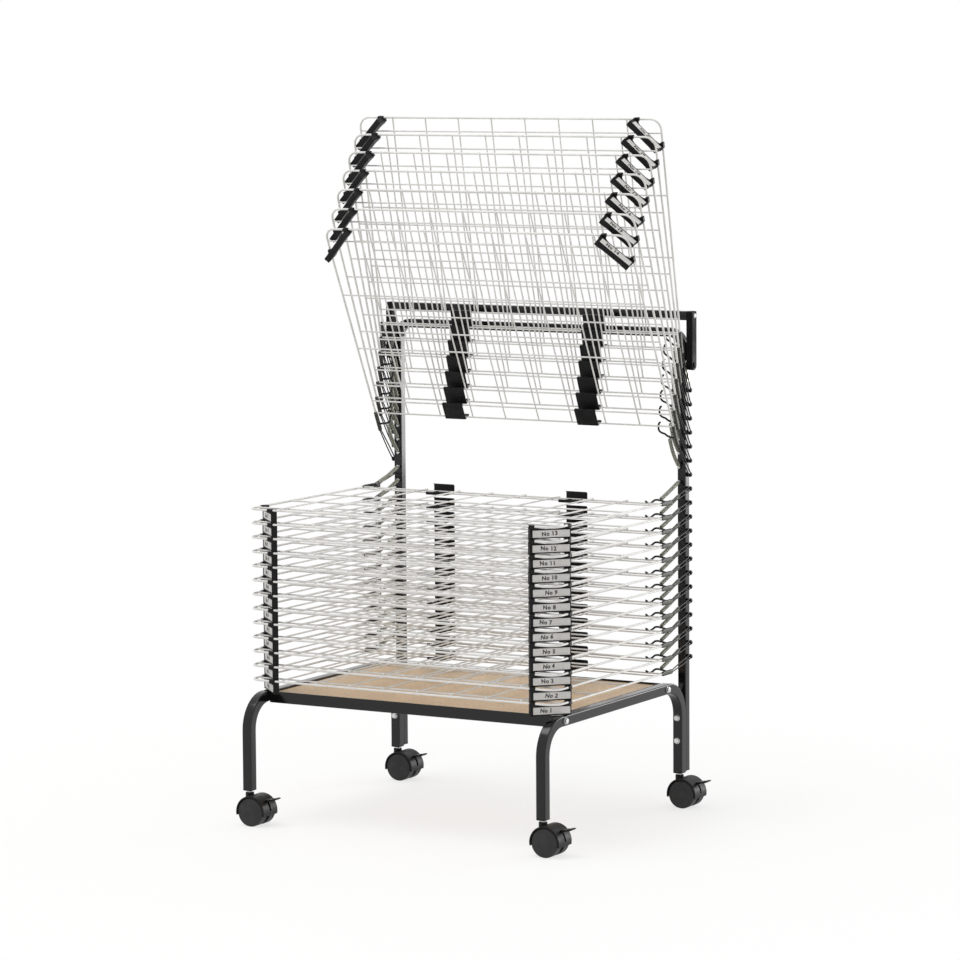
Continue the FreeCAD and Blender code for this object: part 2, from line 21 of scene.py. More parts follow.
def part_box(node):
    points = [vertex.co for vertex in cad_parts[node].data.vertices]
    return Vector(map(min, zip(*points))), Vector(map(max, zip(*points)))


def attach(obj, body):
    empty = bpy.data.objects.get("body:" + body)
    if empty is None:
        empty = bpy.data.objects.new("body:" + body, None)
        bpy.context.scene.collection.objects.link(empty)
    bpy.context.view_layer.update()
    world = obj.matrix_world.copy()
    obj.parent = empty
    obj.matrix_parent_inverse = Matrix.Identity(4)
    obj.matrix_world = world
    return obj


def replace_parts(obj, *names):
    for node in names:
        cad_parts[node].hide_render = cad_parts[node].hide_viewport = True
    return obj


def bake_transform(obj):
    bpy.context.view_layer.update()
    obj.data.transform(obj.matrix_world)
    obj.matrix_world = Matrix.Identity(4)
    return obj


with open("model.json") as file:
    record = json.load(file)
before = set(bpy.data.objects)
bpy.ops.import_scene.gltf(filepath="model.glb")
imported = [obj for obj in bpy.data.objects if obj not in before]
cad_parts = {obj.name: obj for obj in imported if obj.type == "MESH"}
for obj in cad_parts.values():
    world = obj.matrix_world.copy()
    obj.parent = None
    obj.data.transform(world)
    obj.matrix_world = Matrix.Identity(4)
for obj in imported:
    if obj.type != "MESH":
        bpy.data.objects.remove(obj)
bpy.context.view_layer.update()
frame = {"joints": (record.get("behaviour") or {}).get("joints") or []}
MM = 0.001

# %% [markdown]
# ## The camera
#
# A long lens a few metres away keeps the uprights nearly parallel.  The
# camera looks along `forward`; its own right and up follow from that and a
# very small roll.  A small shift slides the picture without turning anything.

# %% Camera
CAMERA_PLACE = Vector((3637.9, -6246.2, 1385.6)) * MM
CAMERA_TURN, CAMERA_DIP, CAMERA_ROLL = (math.radians(a) for a in (29.77, 5.55, -0.36))
FOCAL_PIXELS, FRAME_PIXELS, CENTRE = 4151.85, 960, (496.6, 429.4)

forward = Vector((-math.sin(CAMERA_TURN) * math.cos(CAMERA_DIP),
                  math.cos(CAMERA_TURN) * math.cos(CAMERA_DIP),
                  -math.sin(CAMERA_DIP)))
level = forward.cross(Vector((0, 0, 1))).normalized()
upward = level.cross(forward)
right = level * math.cos(CAMERA_ROLL) + upward * math.sin(CAMERA_ROLL)
above = upward * math.cos(CAMERA_ROLL) - level * math.sin(CAMERA_ROLL)

camera = bpy.data.objects.new("camera", bpy.data.cameras.new("camera"))
bpy.context.scene.collection.objects.link(camera)
camera.data.sensor_width = 36
camera.data.lens = FOCAL_PIXELS * 36 / FRAME_PIXELS
camera.data.shift_x = (FRAME_PIXELS / 2 - CENTRE[0]) / FRAME_PIXELS
camera.data.shift_y = (CENTRE[1] - FRAME_PIXELS / 2) / FRAME_PIXELS
camera.data.clip_end = 60
camera.matrix_world = Matrix.Translation(CAMERA_PLACE) @ Matrix(
    (right, above, -forward)).transposed().to_4x4()
bpy.context.scene.camera = camera
print("lens %.1f mm" % camera.data.lens)

# %% [markdown]
# ## Finishes
#
# Every finish starts from one Principled shader.  `add` puts a node into a
# tree and wires it up.  Three small helpers, `tint`, `uneven` and `grain`, add
# what the eye looks for up close: a colour that drifts a little, a gloss that
# is uneven, and a fine relief.  All of them read Object coordinates, so the
# pattern stays on the piece when it moves.

# %% Helpers for finishes
def add(group, kind, inputs=(), **settings):
    """Adds a node; inputs are (name, socket or value) pairs."""
    node = group.nodes.new(kind)
    for key, value in settings.items():
        setattr(node, key, value)
    for key, value in inputs:
        socket = node.inputs[key]
        if isinstance(value, bpy.types.NodeSocket):
            group.links.new(value, socket)
        else:
            socket.default_value = value
    return node.outputs[0]


def finish(name, colour, roughness, metallic=0.0, specular=0.5):
    """A material with its plain values set on the shader's own sockets."""
    material = bpy.data.materials.new(name)
    material.use_nodes = True
    shader = material.node_tree.nodes["Principled BSDF"]
    shader.inputs["Base Color"].default_value = (*colour, 1)
    shader.inputs["Roughness"].default_value = roughness
    shader.inputs["Metallic"].default_value = metallic
    shader.inputs["Specular IOR Level"].default_value = specular
    return material


def noise(material, scale, detail=3.0, stretch=(1, 1, 1)):
    """Noise on Object coordinates; returns its value socket."""
    tree = material.node_tree
    place = tree.nodes.new("ShaderNodeTexCoord").outputs["Object"]
    mapping = add(tree, "ShaderNodeMapping", [("Vector", place), ("Scale", stretch)])
    return add(tree, "ShaderNodeTexNoise",
               [("Vector", mapping), ("Scale", scale), ("Detail", detail)])


def spread(material, value, low, high, start=0.35, stop=0.65):
    """Maps a value between start and stop onto the range low to high."""
    return add(material.node_tree, "ShaderNodeMapRange",
               [("Value", value), ("From Min", start), ("From Max", stop),
                ("To Min", low), ("To Max", high)])


def blend_colours(material, value, one, two, under=None):
    """Mixes two colours by a value; `under` may replace the first colour."""
    node = material.node_tree.nodes.new("ShaderNodeMix")
    node.data_type = "RGBA"
    node.inputs["A"].default_value = (*one, 1)
    node.inputs["B"].default_value = (*two, 1)
    material.node_tree.links.new(value, node.inputs["Factor"])
    if under is not None:
        material.node_tree.links.new(under, node.inputs["A"])
    return node.outputs["Result"]


def feed(material, socket, value):
    """Feeds a value into a socket of the shader."""
    shader = material.node_tree.nodes["Principled BSDF"]
    material.node_tree.links.new(value, shader.inputs[socket])


def relief(material, value, strength, depth):
    """Turns a value into a fine bump; depth is in metres."""
    feed(material, "Normal", add(material.node_tree, "ShaderNodeBump", [
        ("Strength", strength), ("Distance", depth), ("Height", value)]))


def tint(material, scale, one, two, detail=3):
    """Lets the colour drift between two colours."""
    drift = spread(material, noise(material, scale, detail), 0, 1)
    feed(material, "Base Color", blend_colours(material, drift, one, two))


def uneven(material, scale, low, high):
    """Lets the roughness wander between two values."""
    feed(material, "Roughness", spread(material, noise(material, scale), low, high))


def grain(material, scale, strength, detail=2):
    """A fine grain, a fifth of a millimetre deep at full strength."""
    relief(material, noise(material, scale, detail), strength, 0.0002)


# %% [markdown]
# ## Paint, zinc and wire
#
# The tubes have a black stoved gloss paint with a faint orange peel, and the
# arms of the retainer a matt one.  Bolts, pins and stems are bright zinc.  The
# shelves are plated wire, paler and softer.  Springs are a darker steel,
# sleeves darker still, and the hooks and hairpins are blackened.

# %% Metals and paint
gloss_paint = finish("black_gloss_paint", (0.0035, 0.0035, 0.004), 0.15, specular=0.38)
uneven(gloss_paint, 9, 0.11, 0.20)
grain(gloss_paint, 900, 0.08, 1)

zinc = finish("bright_zinc", (0.66, 0.66, 0.65), 0.32, 1.0)
tint(zinc, 260, (0.72, 0.72, 0.71), (0.52, 0.53, 0.55), 4)
uneven(zinc, 120, 0.22, 0.42)

plated_wire = finish("plated_shelf_wire", (0.73, 0.72, 0.70), 0.55, 0.1)
tint(plated_wire, 38, (0.77, 0.76, 0.74), (0.68, 0.67, 0.65))
uneven(plated_wire, 150, 0.45, 0.62)

spring_steel = finish("spring_steel", (0.32, 0.32, 0.275), 0.36, 0.8)
tint(spring_steel, 420, (0.38, 0.38, 0.33), (0.26, 0.26, 0.22), 2)

sleeve_steel = finish("dull_sleeve_steel", (0.055, 0.055, 0.048), 0.42, 0.35, 0.3)
tint(sleeve_steel, 180, (0.066, 0.066, 0.058), (0.04, 0.04, 0.034), 4)
grain(sleeve_steel, 1500, 0.15)

matt_black = finish("matt_black_coating", (0.005, 0.0045, 0.005), 0.6, specular=0.12)
uneven(matt_black, 40, 0.52, 0.68)
grain(matt_black, 1400, 0.12)

black_wire = finish("blackened_wire", (0.006, 0.006, 0.006), 0.38, specular=0.3)
uneven(black_wire, 300, 0.30, 0.46)

# %% [markdown]
# ## Board, plastics and labels
#
# The tray board is plain hardboard: a warm tan with darker fibres and faint
# rubbed patches.  Clips, caps and hoods are moulded black plastic with a fine
# grain.  The label strips are pale grey card, written on by hand.

# %% Board, plastics and labels
board_tan = finish("hardboard_tan", (0.80, 0.60, 0.41), 0.62)
fibres = spread(board_tan, noise(board_tan, 340, 6, (1, 0.35, 1)), 0, 1, 0.42, 0.70)
patches = spread(board_tan, noise(board_tan, 7, 4), 0, 1, 0.38, 0.66)
worn = blend_colours(board_tan, patches, (0.82, 0.625, 0.43), (0.75, 0.56, 0.38))
feed(board_tan, "Base Color",
     blend_colours(board_tan, fibres, (0, 0, 0), (0.65, 0.475, 0.31), worn))
relief(board_tan, fibres, 0.25, 0.0003)

black_plastic = finish("moulded_black_plastic", (0.006, 0.006, 0.0065), 0.44, specular=0.2)
uneven(black_plastic, 60, 0.38, 0.52)
grain(black_plastic, 2200, 0.18)

wheel_plastic = finish("wheel_charcoal_plastic", (0.026, 0.026, 0.027), 0.46, specular=0.3)
tint(wheel_plastic, 70, (0.030, 0.030, 0.031), (0.020, 0.020, 0.021), 4)
grain(wheel_plastic, 1800, 0.2)

label_card = finish("pale_grey_card", (0.70, 0.685, 0.66), 0.7)
tint(label_card, 500, (0.74, 0.725, 0.70), (0.65, 0.635, 0.61), 5)

label_ink = finish("label_ink", (0.03, 0.028, 0.027), 0.6)
tint(label_ink, 900, (0.018, 0.016, 0.016), (0.05, 0.046, 0.045))
print("finishes:", len(bpy.data.materials))

# %% [markdown]
# ## Making pieces
#
# A piece made here is a mesh whose place is in its points, so its object sits
# at the origin.  `baked` runs the modifiers once and keeps the result, and
# `smooth` gives soft edges while the flat sides stay flat.

# %% Helpers for pieces
def linked(name, mesh):
    """A new object in the scene for a mesh."""
    piece = bpy.data.objects.new(name, mesh)
    bpy.context.scene.collection.objects.link(piece)
    return piece


def baked(piece):
    """Applies all modifiers by reading the evaluated mesh."""
    graph = bpy.context.evaluated_depsgraph_get()
    mesh = bpy.data.meshes.new_from_object(
        piece.evaluated_get(graph), preserve_all_data_layers=True, depsgraph=graph)
    mesh.name = piece.name
    piece.modifiers.clear()
    piece.data = mesh
    return piece


def smooth(piece, sharp=50):
    """Smooth shading with flat sides kept flat and hard edges kept hard."""
    mesh = piece.data
    mesh.polygons.foreach_set("use_smooth", [True] * len(mesh.polygons))
    mesh.set_sharp_from_angle(angle=math.radians(sharp))
    weighted = piece.modifiers.new("flat sides", "WEIGHTED_NORMAL")
    weighted.keep_sharp = True
    return baked(piece)


def mesh_piece(name, points, faces, material, bevel=0.0, steps=2):
    """A piece from points in millimetres, with its edges rounded over."""
    mesh = bpy.data.meshes.new(name)
    mesh.from_pydata([Vector(p) * MM for p in points], [], faces)
    mesh.materials.append(material)
    work = bmesh.new()
    work.from_mesh(mesh)
    bmesh.ops.recalc_face_normals(work, faces=work.faces)
    work.to_mesh(mesh)
    work.free()
    piece = linked(name, mesh)
    if bevel:
        edge = piece.modifiers.new("round edges", "BEVEL")
        edge.width, edge.segments = bevel * MM, steps
        edge.limit_method, edge.angle_limit = "ANGLE", math.radians(30)
        baked(piece)
    return smooth(piece)


def block(name, low, high, material, bevel=0.5, steps=2):
    """A block between two corners, in millimetres."""
    points = [(x, y, z) for x in (low[0], high[0]) for y in (low[1], high[1])
              for z in (low[2], high[2])]
    faces = [(0, 1, 3, 2), (4, 6, 7, 5), (0, 4, 5, 1), (2, 3, 7, 6),
             (0, 2, 6, 4), (1, 5, 7, 3)]
    return mesh_piece(name, points, faces, material, bevel, steps)


def lofted(name, rings, material, bevel=0.0, steps=2, closed=False):
    """A skin over rings of points, in millimetres, with flat ends or closed."""
    count, last = len(rings[0]), (len(rings) - 1) * len(rings[0])
    faces = [] if closed else [tuple(range(count)),
                               tuple(range(last + count - 1, last - 1, -1))]
    for low in range(0, last + count if closed else last, count):
        high = (low + count) % (last + count)
        faces += [(low + k, low + (k + 1) % count, high + (k + 1) % count, high + k)
                  for k in range(count)]
    points = [point for ring in rings for point in ring]
    return mesh_piece(name, points, faces, material, bevel, steps)


def plate(name, outline, extent, material, bevel=0.5, steps=2):
    """A flat outline of points carried along a vector, in millimetres."""
    far_side = [Vector(point) + Vector(extent) for point in outline]
    return lofted(name, [outline, far_side], material, bevel, steps)


def turned_piece(name, profile, material, steps=32, centre=(0, 0, 0), axis=(0, 0, 1),
                 sharp=40):
    """A profile of (along, radius) turned about an axis, in millimetres."""
    axis = Vector(axis)
    side = axis.orthogonal().normalized()
    over = axis.cross(side)
    turns = [math.tau * k / steps for k in range(steps)]
    rings = [[Vector(centre) + axis * along
              + (side * math.cos(turn) + over * math.sin(turn)) * radius
              for turn in turns] for along, radius in profile]
    return smooth(lofted(name, rings, material), sharp)


def arc(centre, radius, angles):
    """Points of a plane at the given angles, in degrees, round a centre."""
    return [(centre[0] + radius * math.cos(math.radians(angle)),
             centre[1] + radius * math.sin(math.radians(angle))) for angle in angles]


def cut(piece, cutter):
    """Takes the shape of one piece out of another."""
    change = piece.modifiers.new("cut", "BOOLEAN")
    change.operation, change.solver, change.object = "DIFFERENCE", "EXACT", cutter
    return baked(piece)


def joined(name, pieces):
    """Joins pieces that move together into one."""
    with bpy.context.temp_override(active_object=pieces[0], object=pieces[0],
                                   selected_objects=pieces,
                                   selected_editable_objects=pieces):
        bpy.ops.object.join()
    pieces[0].name = pieces[0].data.name = name
    return pieces[0]


def mirrored(piece, name):
    """A copy across the middle of the rack, its faces turned out again."""
    mesh = piece.data.copy()
    mesh.transform(Matrix.Scale(-1, 4, (1, 0, 0)))
    mesh.flip_normals()
    return smooth(linked(name, mesh))


def moved(piece, name, matrix):
    """A copy of a piece with its points carried by a matrix."""
    mesh = piece.data.copy()
    mesh.transform(matrix)
    return linked(name, mesh)


def dropped(*pieces):
    """Takes a pattern piece out of the scene once its copies are made."""
    for piece in pieces:
        bpy.data.objects.remove(piece)


# %% [markdown]
# ## Geometry Nodes by name
#
# Tubes, wires, coils and repeated fasteners all follow a rule, so Geometry
# Nodes make them.  `tree` starts a node group with named inputs, `ends_in`,
# `skinned` and `wired` close one, and `grown` runs a group on a piece and keeps
# the plain mesh.

# %% Helpers for node trees
def tree(name, **inputs):
    """A node group with a geometry input and the named inputs given."""
    group = bpy.data.node_groups.new(name, "GeometryNodeTree")
    group.interface.new_socket("Geometry", in_out="INPUT",
                               socket_type="NodeSocketGeometry")
    for label, value in inputs.items():
        kind = {int: "Int", float: "Float", tuple: "Vector", str: value}[type(value)]
        socket = group.interface.new_socket(label, in_out="INPUT",
                                            socket_type="NodeSocket" + kind)
        if not isinstance(value, str):
            socket.default_value = value
    group.interface.new_socket("Geometry", in_out="OUTPUT",
                               socket_type="NodeSocketGeometry")
    return group, group.nodes.new("NodeGroupInput").outputs


def ends_in(group, geometry, material):
    """Realizes instances, sets the material and closes the tree."""
    real = add(group, "GeometryNodeRealizeInstances", [("Geometry", geometry)])
    done = add(group, "GeometryNodeSetMaterial",
               [("Geometry", real), ("Material", material)])
    group.links.new(done, group.nodes.new("NodeGroupOutput").inputs[0])


def skinned(group, path, section, material):
    """Carries a section along a path and closes the tree."""
    skin = add(group, "GeometryNodeCurveToMesh",
               [("Curve", path), ("Profile Curve", section), ("Fill Caps", True)])
    ends_in(group, skin, material)


def wired(group, path, sides, pins):
    """Carries a round section with so many sides along a path."""
    ring = add(group, "GeometryNodeCurvePrimitiveCircle",
               [("Resolution", sides), ("Radius", pins["Radius"])])
    skinned(group, path, ring, pins["Material"])


def maths(group, operation, one, two=0.0):
    """One sum on two values of a tree."""
    return add(group, "ShaderNodeMath", [(0, one), (1, two)], operation=operation)


def vector(group, x=0.0, y=0.0, z=0.0):
    """A vector from three values of a tree."""
    return add(group, "ShaderNodeCombineXYZ", [("X", x), ("Y", y), ("Z", z)])


def grown(name, group, carrier=None, **values):
    """Runs a tree on a carrier mesh and keeps the plain mesh it makes."""
    piece = linked(name, carrier or bpy.data.meshes.new(name))
    modifier = piece.modifiers.new("grow", "NODES")
    modifier.node_group = group
    for item in group.interface.items_tree:
        if item.in_out == "INPUT" and item.name in values:
            modifier[item.identifier] = values[item.name]
    return baked(piece)


def route(*runs):
    """A carrier of plain lines through points in millimetres."""
    mesh = bpy.data.meshes.new("route")
    points, edges = [], []
    for run in runs:
        edges += [(len(points) + i, len(points) + i + 1) for i in range(len(run) - 1)]
        points += [Vector(p) * MM for p in run]
    mesh.from_pydata(points, edges, [])
    return mesh


# %% [markdown]
# ## Bent tube and bent wire
#
# A bent tube is a path with rounded corners and a section that is carried
# along it.  Both trees share that idea: lines become curves, Fillet Curve
# bends the corners, and Curve to Mesh carries a square or a round section.

# %% Trees for tube and wire
def bent_path(group, pins, count):
    """The carrier's lines as curves, their corners bent in so many steps."""
    path = add(group, "GeometryNodeMeshToCurve", [("Mesh", pins["Geometry"])])
    return add(group, "GeometryNodeFilletCurve",
               [("Curve", path), ("Count", count), ("Radius", pins["Bend"]),
                ("Limit Radius", True)], mode="POLY")


bent_square_tube, pins = tree("bent square tube", Width=0.018, Edge=0.002,
                              Bend=0.05, Material="Material")
square = add(bent_square_tube, "GeometryNodeCurvePrimitiveQuadrilateral",
             [("Width", pins["Width"]), ("Height", pins["Width"])])
square = add(bent_square_tube, "GeometryNodeFilletCurve",
             [("Curve", square), ("Count", 3), ("Radius", pins["Edge"])], mode="POLY")
skinned(bent_square_tube, bent_path(bent_square_tube, pins, 12), square, pins["Material"])

bent_round_wire, pins = tree("bent round wire", Radius=0.0015, Bend=0.01, Sides=8,
                             Steps=5, Material="Material")
wired(bent_round_wire, bent_path(bent_round_wire, pins, pins["Steps"]), pins["Sides"], pins)


def tube(name, run, width, bend, edge=2.0):
    """A painted square tube along a run of points in millimetres."""
    piece = grown(name, bent_square_tube, route(run), Width=width * MM,
                  Edge=edge * MM, Bend=bend * MM, Material=gloss_paint)
    return smooth(piece)


def wire(name, runs, across, bend, material, sides=8, steps=5):
    """Round wire along runs of points in millimetres."""
    piece = grown(name, bent_round_wire, route(*runs), Radius=across / 2 * MM,
                  Bend=bend * MM, Sides=sides, Steps=steps, Material=material)
    return smooth(piece, 60)


# %% [markdown]
# ## The bent frames
#
# Each side frame is one length of tube: front leg, side rail, rear leg.  The
# back frame is another: both uprights and the top bar.  Only the places of
# their bends matter, so a handful of points describes each.

# %% Side frames and back frame
LEG_X, LEG_Y, LEG_FOOT, RAIL, LEG_TUBE = 293, 250, 62, 219, 18
UPRIGHT_Y, UPRIGHT_FOOT, TOP_BAR, BACK_TUBE = 267, 64, 845, 16
for side, tag in ((-1, "left"), (1, "right")):
    run = [(side * LEG_X, -LEG_Y, LEG_FOOT), (side * LEG_X, -LEG_Y, RAIL),
           (side * LEG_X, LEG_Y, RAIL), (side * LEG_X, LEG_Y, LEG_FOOT)]
    piece = tube("side_tube_" + tag, run, LEG_TUBE, 53, 2.2)
    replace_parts(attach(piece, "frame"), "side_frame_" + tag)

run = [(-LEG_X, UPRIGHT_Y, UPRIGHT_FOOT), (-LEG_X, UPRIGHT_Y, TOP_BAR),
       (LEG_X, UPRIGHT_Y, TOP_BAR), (LEG_X, UPRIGHT_Y, UPRIGHT_FOOT)]
back_tube = tube("back_tube", run, BACK_TUBE, 27)
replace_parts(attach(back_tube, "frame"), "back_frame")
print("frame tubes:", len(back_tube.data.polygons), "faces in the back tube")

# %% [markdown]
# ## The tray
#
# An angle section runs round the tray with its foot turned in, and the board
# drops into it.  The angle is one outline carried round four mitred corners.

# %% Tray angle and board
TRAY_HALF_X, TRAY_HALF_Y, TRAY_FOOT, ANGLE, ANGLE_WALL = 284, 196, 208, 20, 1.5
section = [(0, 0), (0, ANGLE), (ANGLE_WALL, ANGLE), (ANGLE_WALL, ANGLE_WALL),
           (ANGLE, ANGLE_WALL), (ANGLE, 0)]
CORNERS = ((-1, -1), (1, -1), (1, 1), (-1, 1))
rings = [[(sx * (TRAY_HALF_X - inward), sy * (TRAY_HALF_Y - inward), TRAY_FOOT + up)
          for inward, up in section] for sx, sy in CORNERS]
tray_angle = lofted("tray_angle", rings, gloss_paint, 0.35, closed=True)
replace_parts(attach(tray_angle, "frame"), "tray_frame")

low, high = (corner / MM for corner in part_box("base_board"))
tray_board = block("tray_board", low, high, board_tan, 0.8)
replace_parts(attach(tray_board, "frame"), "base_board")

# %% [markdown]
# ## Bolts
#
# The bolts of the frame are alike, so one head is modelled with care: a
# hexagon with its corners chamfered, standing on a washer.  A small tree sets
# a copy at each point of a carrier, turned to face out of the metal.

# %% One bolt head, set at many points
set_at_points, pins = tree("set at points", Piece="Object", Turn="Rotation",
                           Material="Material")
model = set_at_points.nodes.new("GeometryNodeObjectInfo")
set_at_points.links.new(pins["Piece"], model.inputs["Object"])
copies = add(set_at_points, "GeometryNodeInstanceOnPoints",
             [("Points", pins["Geometry"]), ("Instance", model.outputs["Geometry"]),
              ("Rotation", pins["Turn"])])
ends_in(set_at_points, copies, pins["Material"])


def set_pieces(name, model, points, turn, material):
    """Copies of a model at points in millimetres, all turned alike."""
    carrier = bpy.data.meshes.new(name)
    carrier.from_pydata([Vector(p) * MM for p in points], [], [])
    return grown(name, set_at_points, carrier, Piece=model, Material=material,
                 Turn=tuple(math.radians(a) for a in turn))


def on_both_sides(name, model, x, spots, material):
    """A model at (y, z) spots on both sides of the rack, facing out."""
    return joined(name, [
        set_pieces("copies", model, [(side * x, y, z) for y, z in spots],
                   (0, 90 * side, 0), material) for side in (-1, 1)])


def bolt_head(across, height):
    """A hexagon head on a washer, its face up and its seat at the origin."""
    washer = turned_piece("washer", [(0, across * 0.54), (0.9, across * 0.54),
                                     (1.1, across * 0.51), (1.1, 0.1)], zinc, 24)
    hexagon = turned_piece("hexagon", [(1.0, across / 2), (height - 1.0, across / 2),
                                       (height - 0.2, across * 0.45),
                                       (height, across * 0.38)], zinc, 6, sharp=20)
    return joined("bolt_head_model", [washer, hexagon])


TO_BACK, TO_FRONT = (-90, 0, 0), (90, 0, 0)
TRAY_BOLT_Y, JOINT_BOLTS_Z = 187, (119, 160)
LEG_FRONT = LEG_Y - LEG_TUBE / 2
UPRIGHT_FRONT, UPRIGHT_BACK = UPRIGHT_Y - BACK_TUBE / 2, UPRIGHT_Y + BACK_TUBE / 2
head = bolt_head(10.4, 4.6)
tray_bolts = on_both_sides("tray_bolt_heads", head, LEG_X + LEG_TUBE / 2,
                           [(-TRAY_BOLT_Y, RAIL), (TRAY_BOLT_Y, RAIL)], zinc)
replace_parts(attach(tray_bolts, "frame"), "tray_bolts")

joint_bolts = joined("upright_bolt_heads", [
    set_pieces("bolts", head,
               [(side * LEG_X, y, z) for side in (-1, 1) for z in JOINT_BOLTS_Z],
               turn, zinc) for y, turn in ((LEG_FRONT, TO_FRONT), (UPRIGHT_BACK, TO_BACK))])
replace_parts(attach(joint_bolts, "frame"), "upright_bolts")
dropped(head)

foot_caps = joined("upright_foot_caps", [
    block("cap", (side * LEG_X - BACK_TUBE / 2, UPRIGHT_FRONT, LEG_FOOT),
          (side * LEG_X + BACK_TUBE / 2, UPRIGHT_BACK, LEG_FOOT + 2.2), black_plastic, 0.9)
    for side in (-1, 1)])
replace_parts(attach(foot_caps, "frame"), "upright_caps")

# %% [markdown]
# ## A wire shelf, once
#
# All twenty shelves are the same, so one is made about its own hinge and
# then carried to its place.  The stout edge wire is a bent path.  The thin
# wires follow a rule: the long ones in rows, the cross ones in equal bays, so
# a tree lays them out from the shelf's own sizes.

# %% Edge wire and grid
PLANE, REAR, FRONT, HALF = -17, -109, -492, 306
EDGE_WIRE, GRID_WIRE, EDGE_BAY, BAYS, ROWS = 3.8, 2.8, 25, 9, 3

wire_grid, pins = tree("wire grid", Width=2 * HALF * MM, Depth=(REAR - FRONT) * MM,
                       Front=FRONT * MM, EdgeBay=EDGE_BAY * MM, Bays=BAYS, Rows=ROWS,
                       Radius=GRID_WIRE / 2 * MM,
                       CrossHeight=(PLANE + EDGE_WIRE / 2 + GRID_WIRE / 2) * MM,
                       LongHeight=(PLANE + EDGE_WIRE / 2 - GRID_WIRE / 2) * MM,
                       Material="Material")
bay = maths(wire_grid, "DIVIDE", pins["Width"], pins["Bays"])
half_width = maths(wire_grid, "MULTIPLY", pins["Width"], 0.5)
both_bays = maths(wire_grid, "MULTIPLY", pins["EdgeBay"], 2.0)
row = maths(wire_grid, "DIVIDE",
            maths(wire_grid, "SUBTRACT", pins["Depth"], both_bays), pins["Rows"])
back = maths(wire_grid, "ADD", pins["Front"], pins["Depth"])
first_bay = maths(wire_grid, "SUBTRACT", bay, half_width)
first_row = maths(wire_grid, "ADD", pins["Front"], pins["EdgeBay"])


def places_along(count, start, step=None):
    """Points in a line, the first at `start` and each a step on."""
    inputs = [("Count", count), ("Start Location", vector(wire_grid, *start))]
    if step:
        inputs.append(("Offset", vector(wire_grid, *step)))
    return add(wire_grid, "GeometryNodeMeshLine", inputs, mode="OFFSET")


def line_between(start, end):
    """One straight wire between two points."""
    return add(wire_grid, "GeometryNodeCurvePrimitiveLine",
               [("Start", vector(wire_grid, *start)), ("End", vector(wire_grid, *end))])


cross_places = places_along(maths(wire_grid, "SUBTRACT", pins["Bays"], 1.0),
                            (first_bay, 0.0, pins["CrossHeight"]), (bay,))
long_places = places_along(maths(wire_grid, "ADD", pins["Rows"], 1.0),
                           (0.0, first_row, pins["LongHeight"]), (0.0, row))
rear_place = places_along(1, (0.0, back, pins["LongHeight"]))
cross_line = line_between((0.0, maths(wire_grid, "SUBTRACT", pins["Front"], pins["Radius"])),
                          (0.0, maths(wire_grid, "ADD", back, pins["Radius"])))
long_line = line_between((maths(wire_grid, "MULTIPLY", half_width, -1.0),), (half_width,))
lines = wire_grid.nodes.new("GeometryNodeJoinGeometry")
for places, line in ((cross_places, cross_line), (long_places, long_line),
                     (rear_place, long_line)):
    wires = add(wire_grid, "GeometryNodeInstanceOnPoints",
                [("Points", places), ("Instance", line)])
    wire_grid.links.new(wires, lines.inputs[0])
real = add(wire_grid, "GeometryNodeRealizeInstances", [("Geometry", lines.outputs[0])])
wired(wire_grid, real, 8, pins)

grid = smooth(grown("grid", wire_grid, Material=plated_wire), 60)
edge = wire("edge", [[(-HALF, REAR + 6, PLANE), (-HALF, FRONT, PLANE),
                      (HALF, FRONT, PLANE), (HALF, REAR + 6, PLANE)]],
            EDGE_WIRE, 20, plated_wire, 10, 8)
shelf_wires = joined("shelf_wires_model", [grid, edge])
print("one shelf of wires:", len(shelf_wires.data.polygons), "faces")

# %% [markdown]
# ## Label clips
#
# A black moulding hangs across each front corner.  Its two jaws grip the
# wire, its end posts stand on the shelf below, and a card strip lies in a
# window between its lips.  Between the jaws the bend of the wire stays bare.
# The front outline is carried through the thickness, and the jaws are the
# plan of the corner carried upwards.

# %% Label clip
CLIP_END, CLIP_OUT, CLIP_IN = 36.0, 2.5, 8.3
CLIP_FOOT, PANEL_FOOT, PANEL_TOP = -22.7, -21.6, -6.0


def both_ends(points):
    """An outline from its right half, its left half added in mirror image."""
    return points + [(-u, v) for u, v in reversed(points)]


panel = [(u, 1.0 - CLIP_OUT, v) for u, v in both_ends(
    [(20.0, PANEL_FOOT), (27.0, CLIP_FOOT), (CLIP_END, CLIP_FOOT),
     (CLIP_END, -1.0), (34.0, 1.6), (27.5, 1.6), (25.5, -1.5), (21.0, -3.6),
     (14.0, -5.2), (7.0, PANEL_TOP)])]
clip_parts = [plate("panel", panel, (0, CLIP_OUT + CLIP_IN - 1.0, 0), black_plastic, 0.6)]
WINDOW_LEFT, WINDOW_RIGHT, WINDOW_FOOT, WINDOW_TOP = -31.0, 34.6, -19.8, -7.1
for name, low, high in (
        ("foot_lip", (-CLIP_END + 0.6, PANEL_FOOT + 0.1), (CLIP_END - 0.6, WINDOW_FOOT)),
        ("top_lip", (-CLIP_END + 0.6, WINDOW_TOP), (CLIP_END - 0.6, PANEL_TOP - 0.1)),
        ("left_lip", (-CLIP_END, CLIP_FOOT + 0.3), (WINDOW_LEFT, -3.0)),
        ("right_lip", (WINDOW_RIGHT, CLIP_FOOT + 0.3), (CLIP_END, -3.0))):
    clip_parts.append(block(name, (low[0], -CLIP_OUT, low[1]),
                            (high[0], 1.6 - CLIP_OUT, high[1]), black_plastic, 0.35))
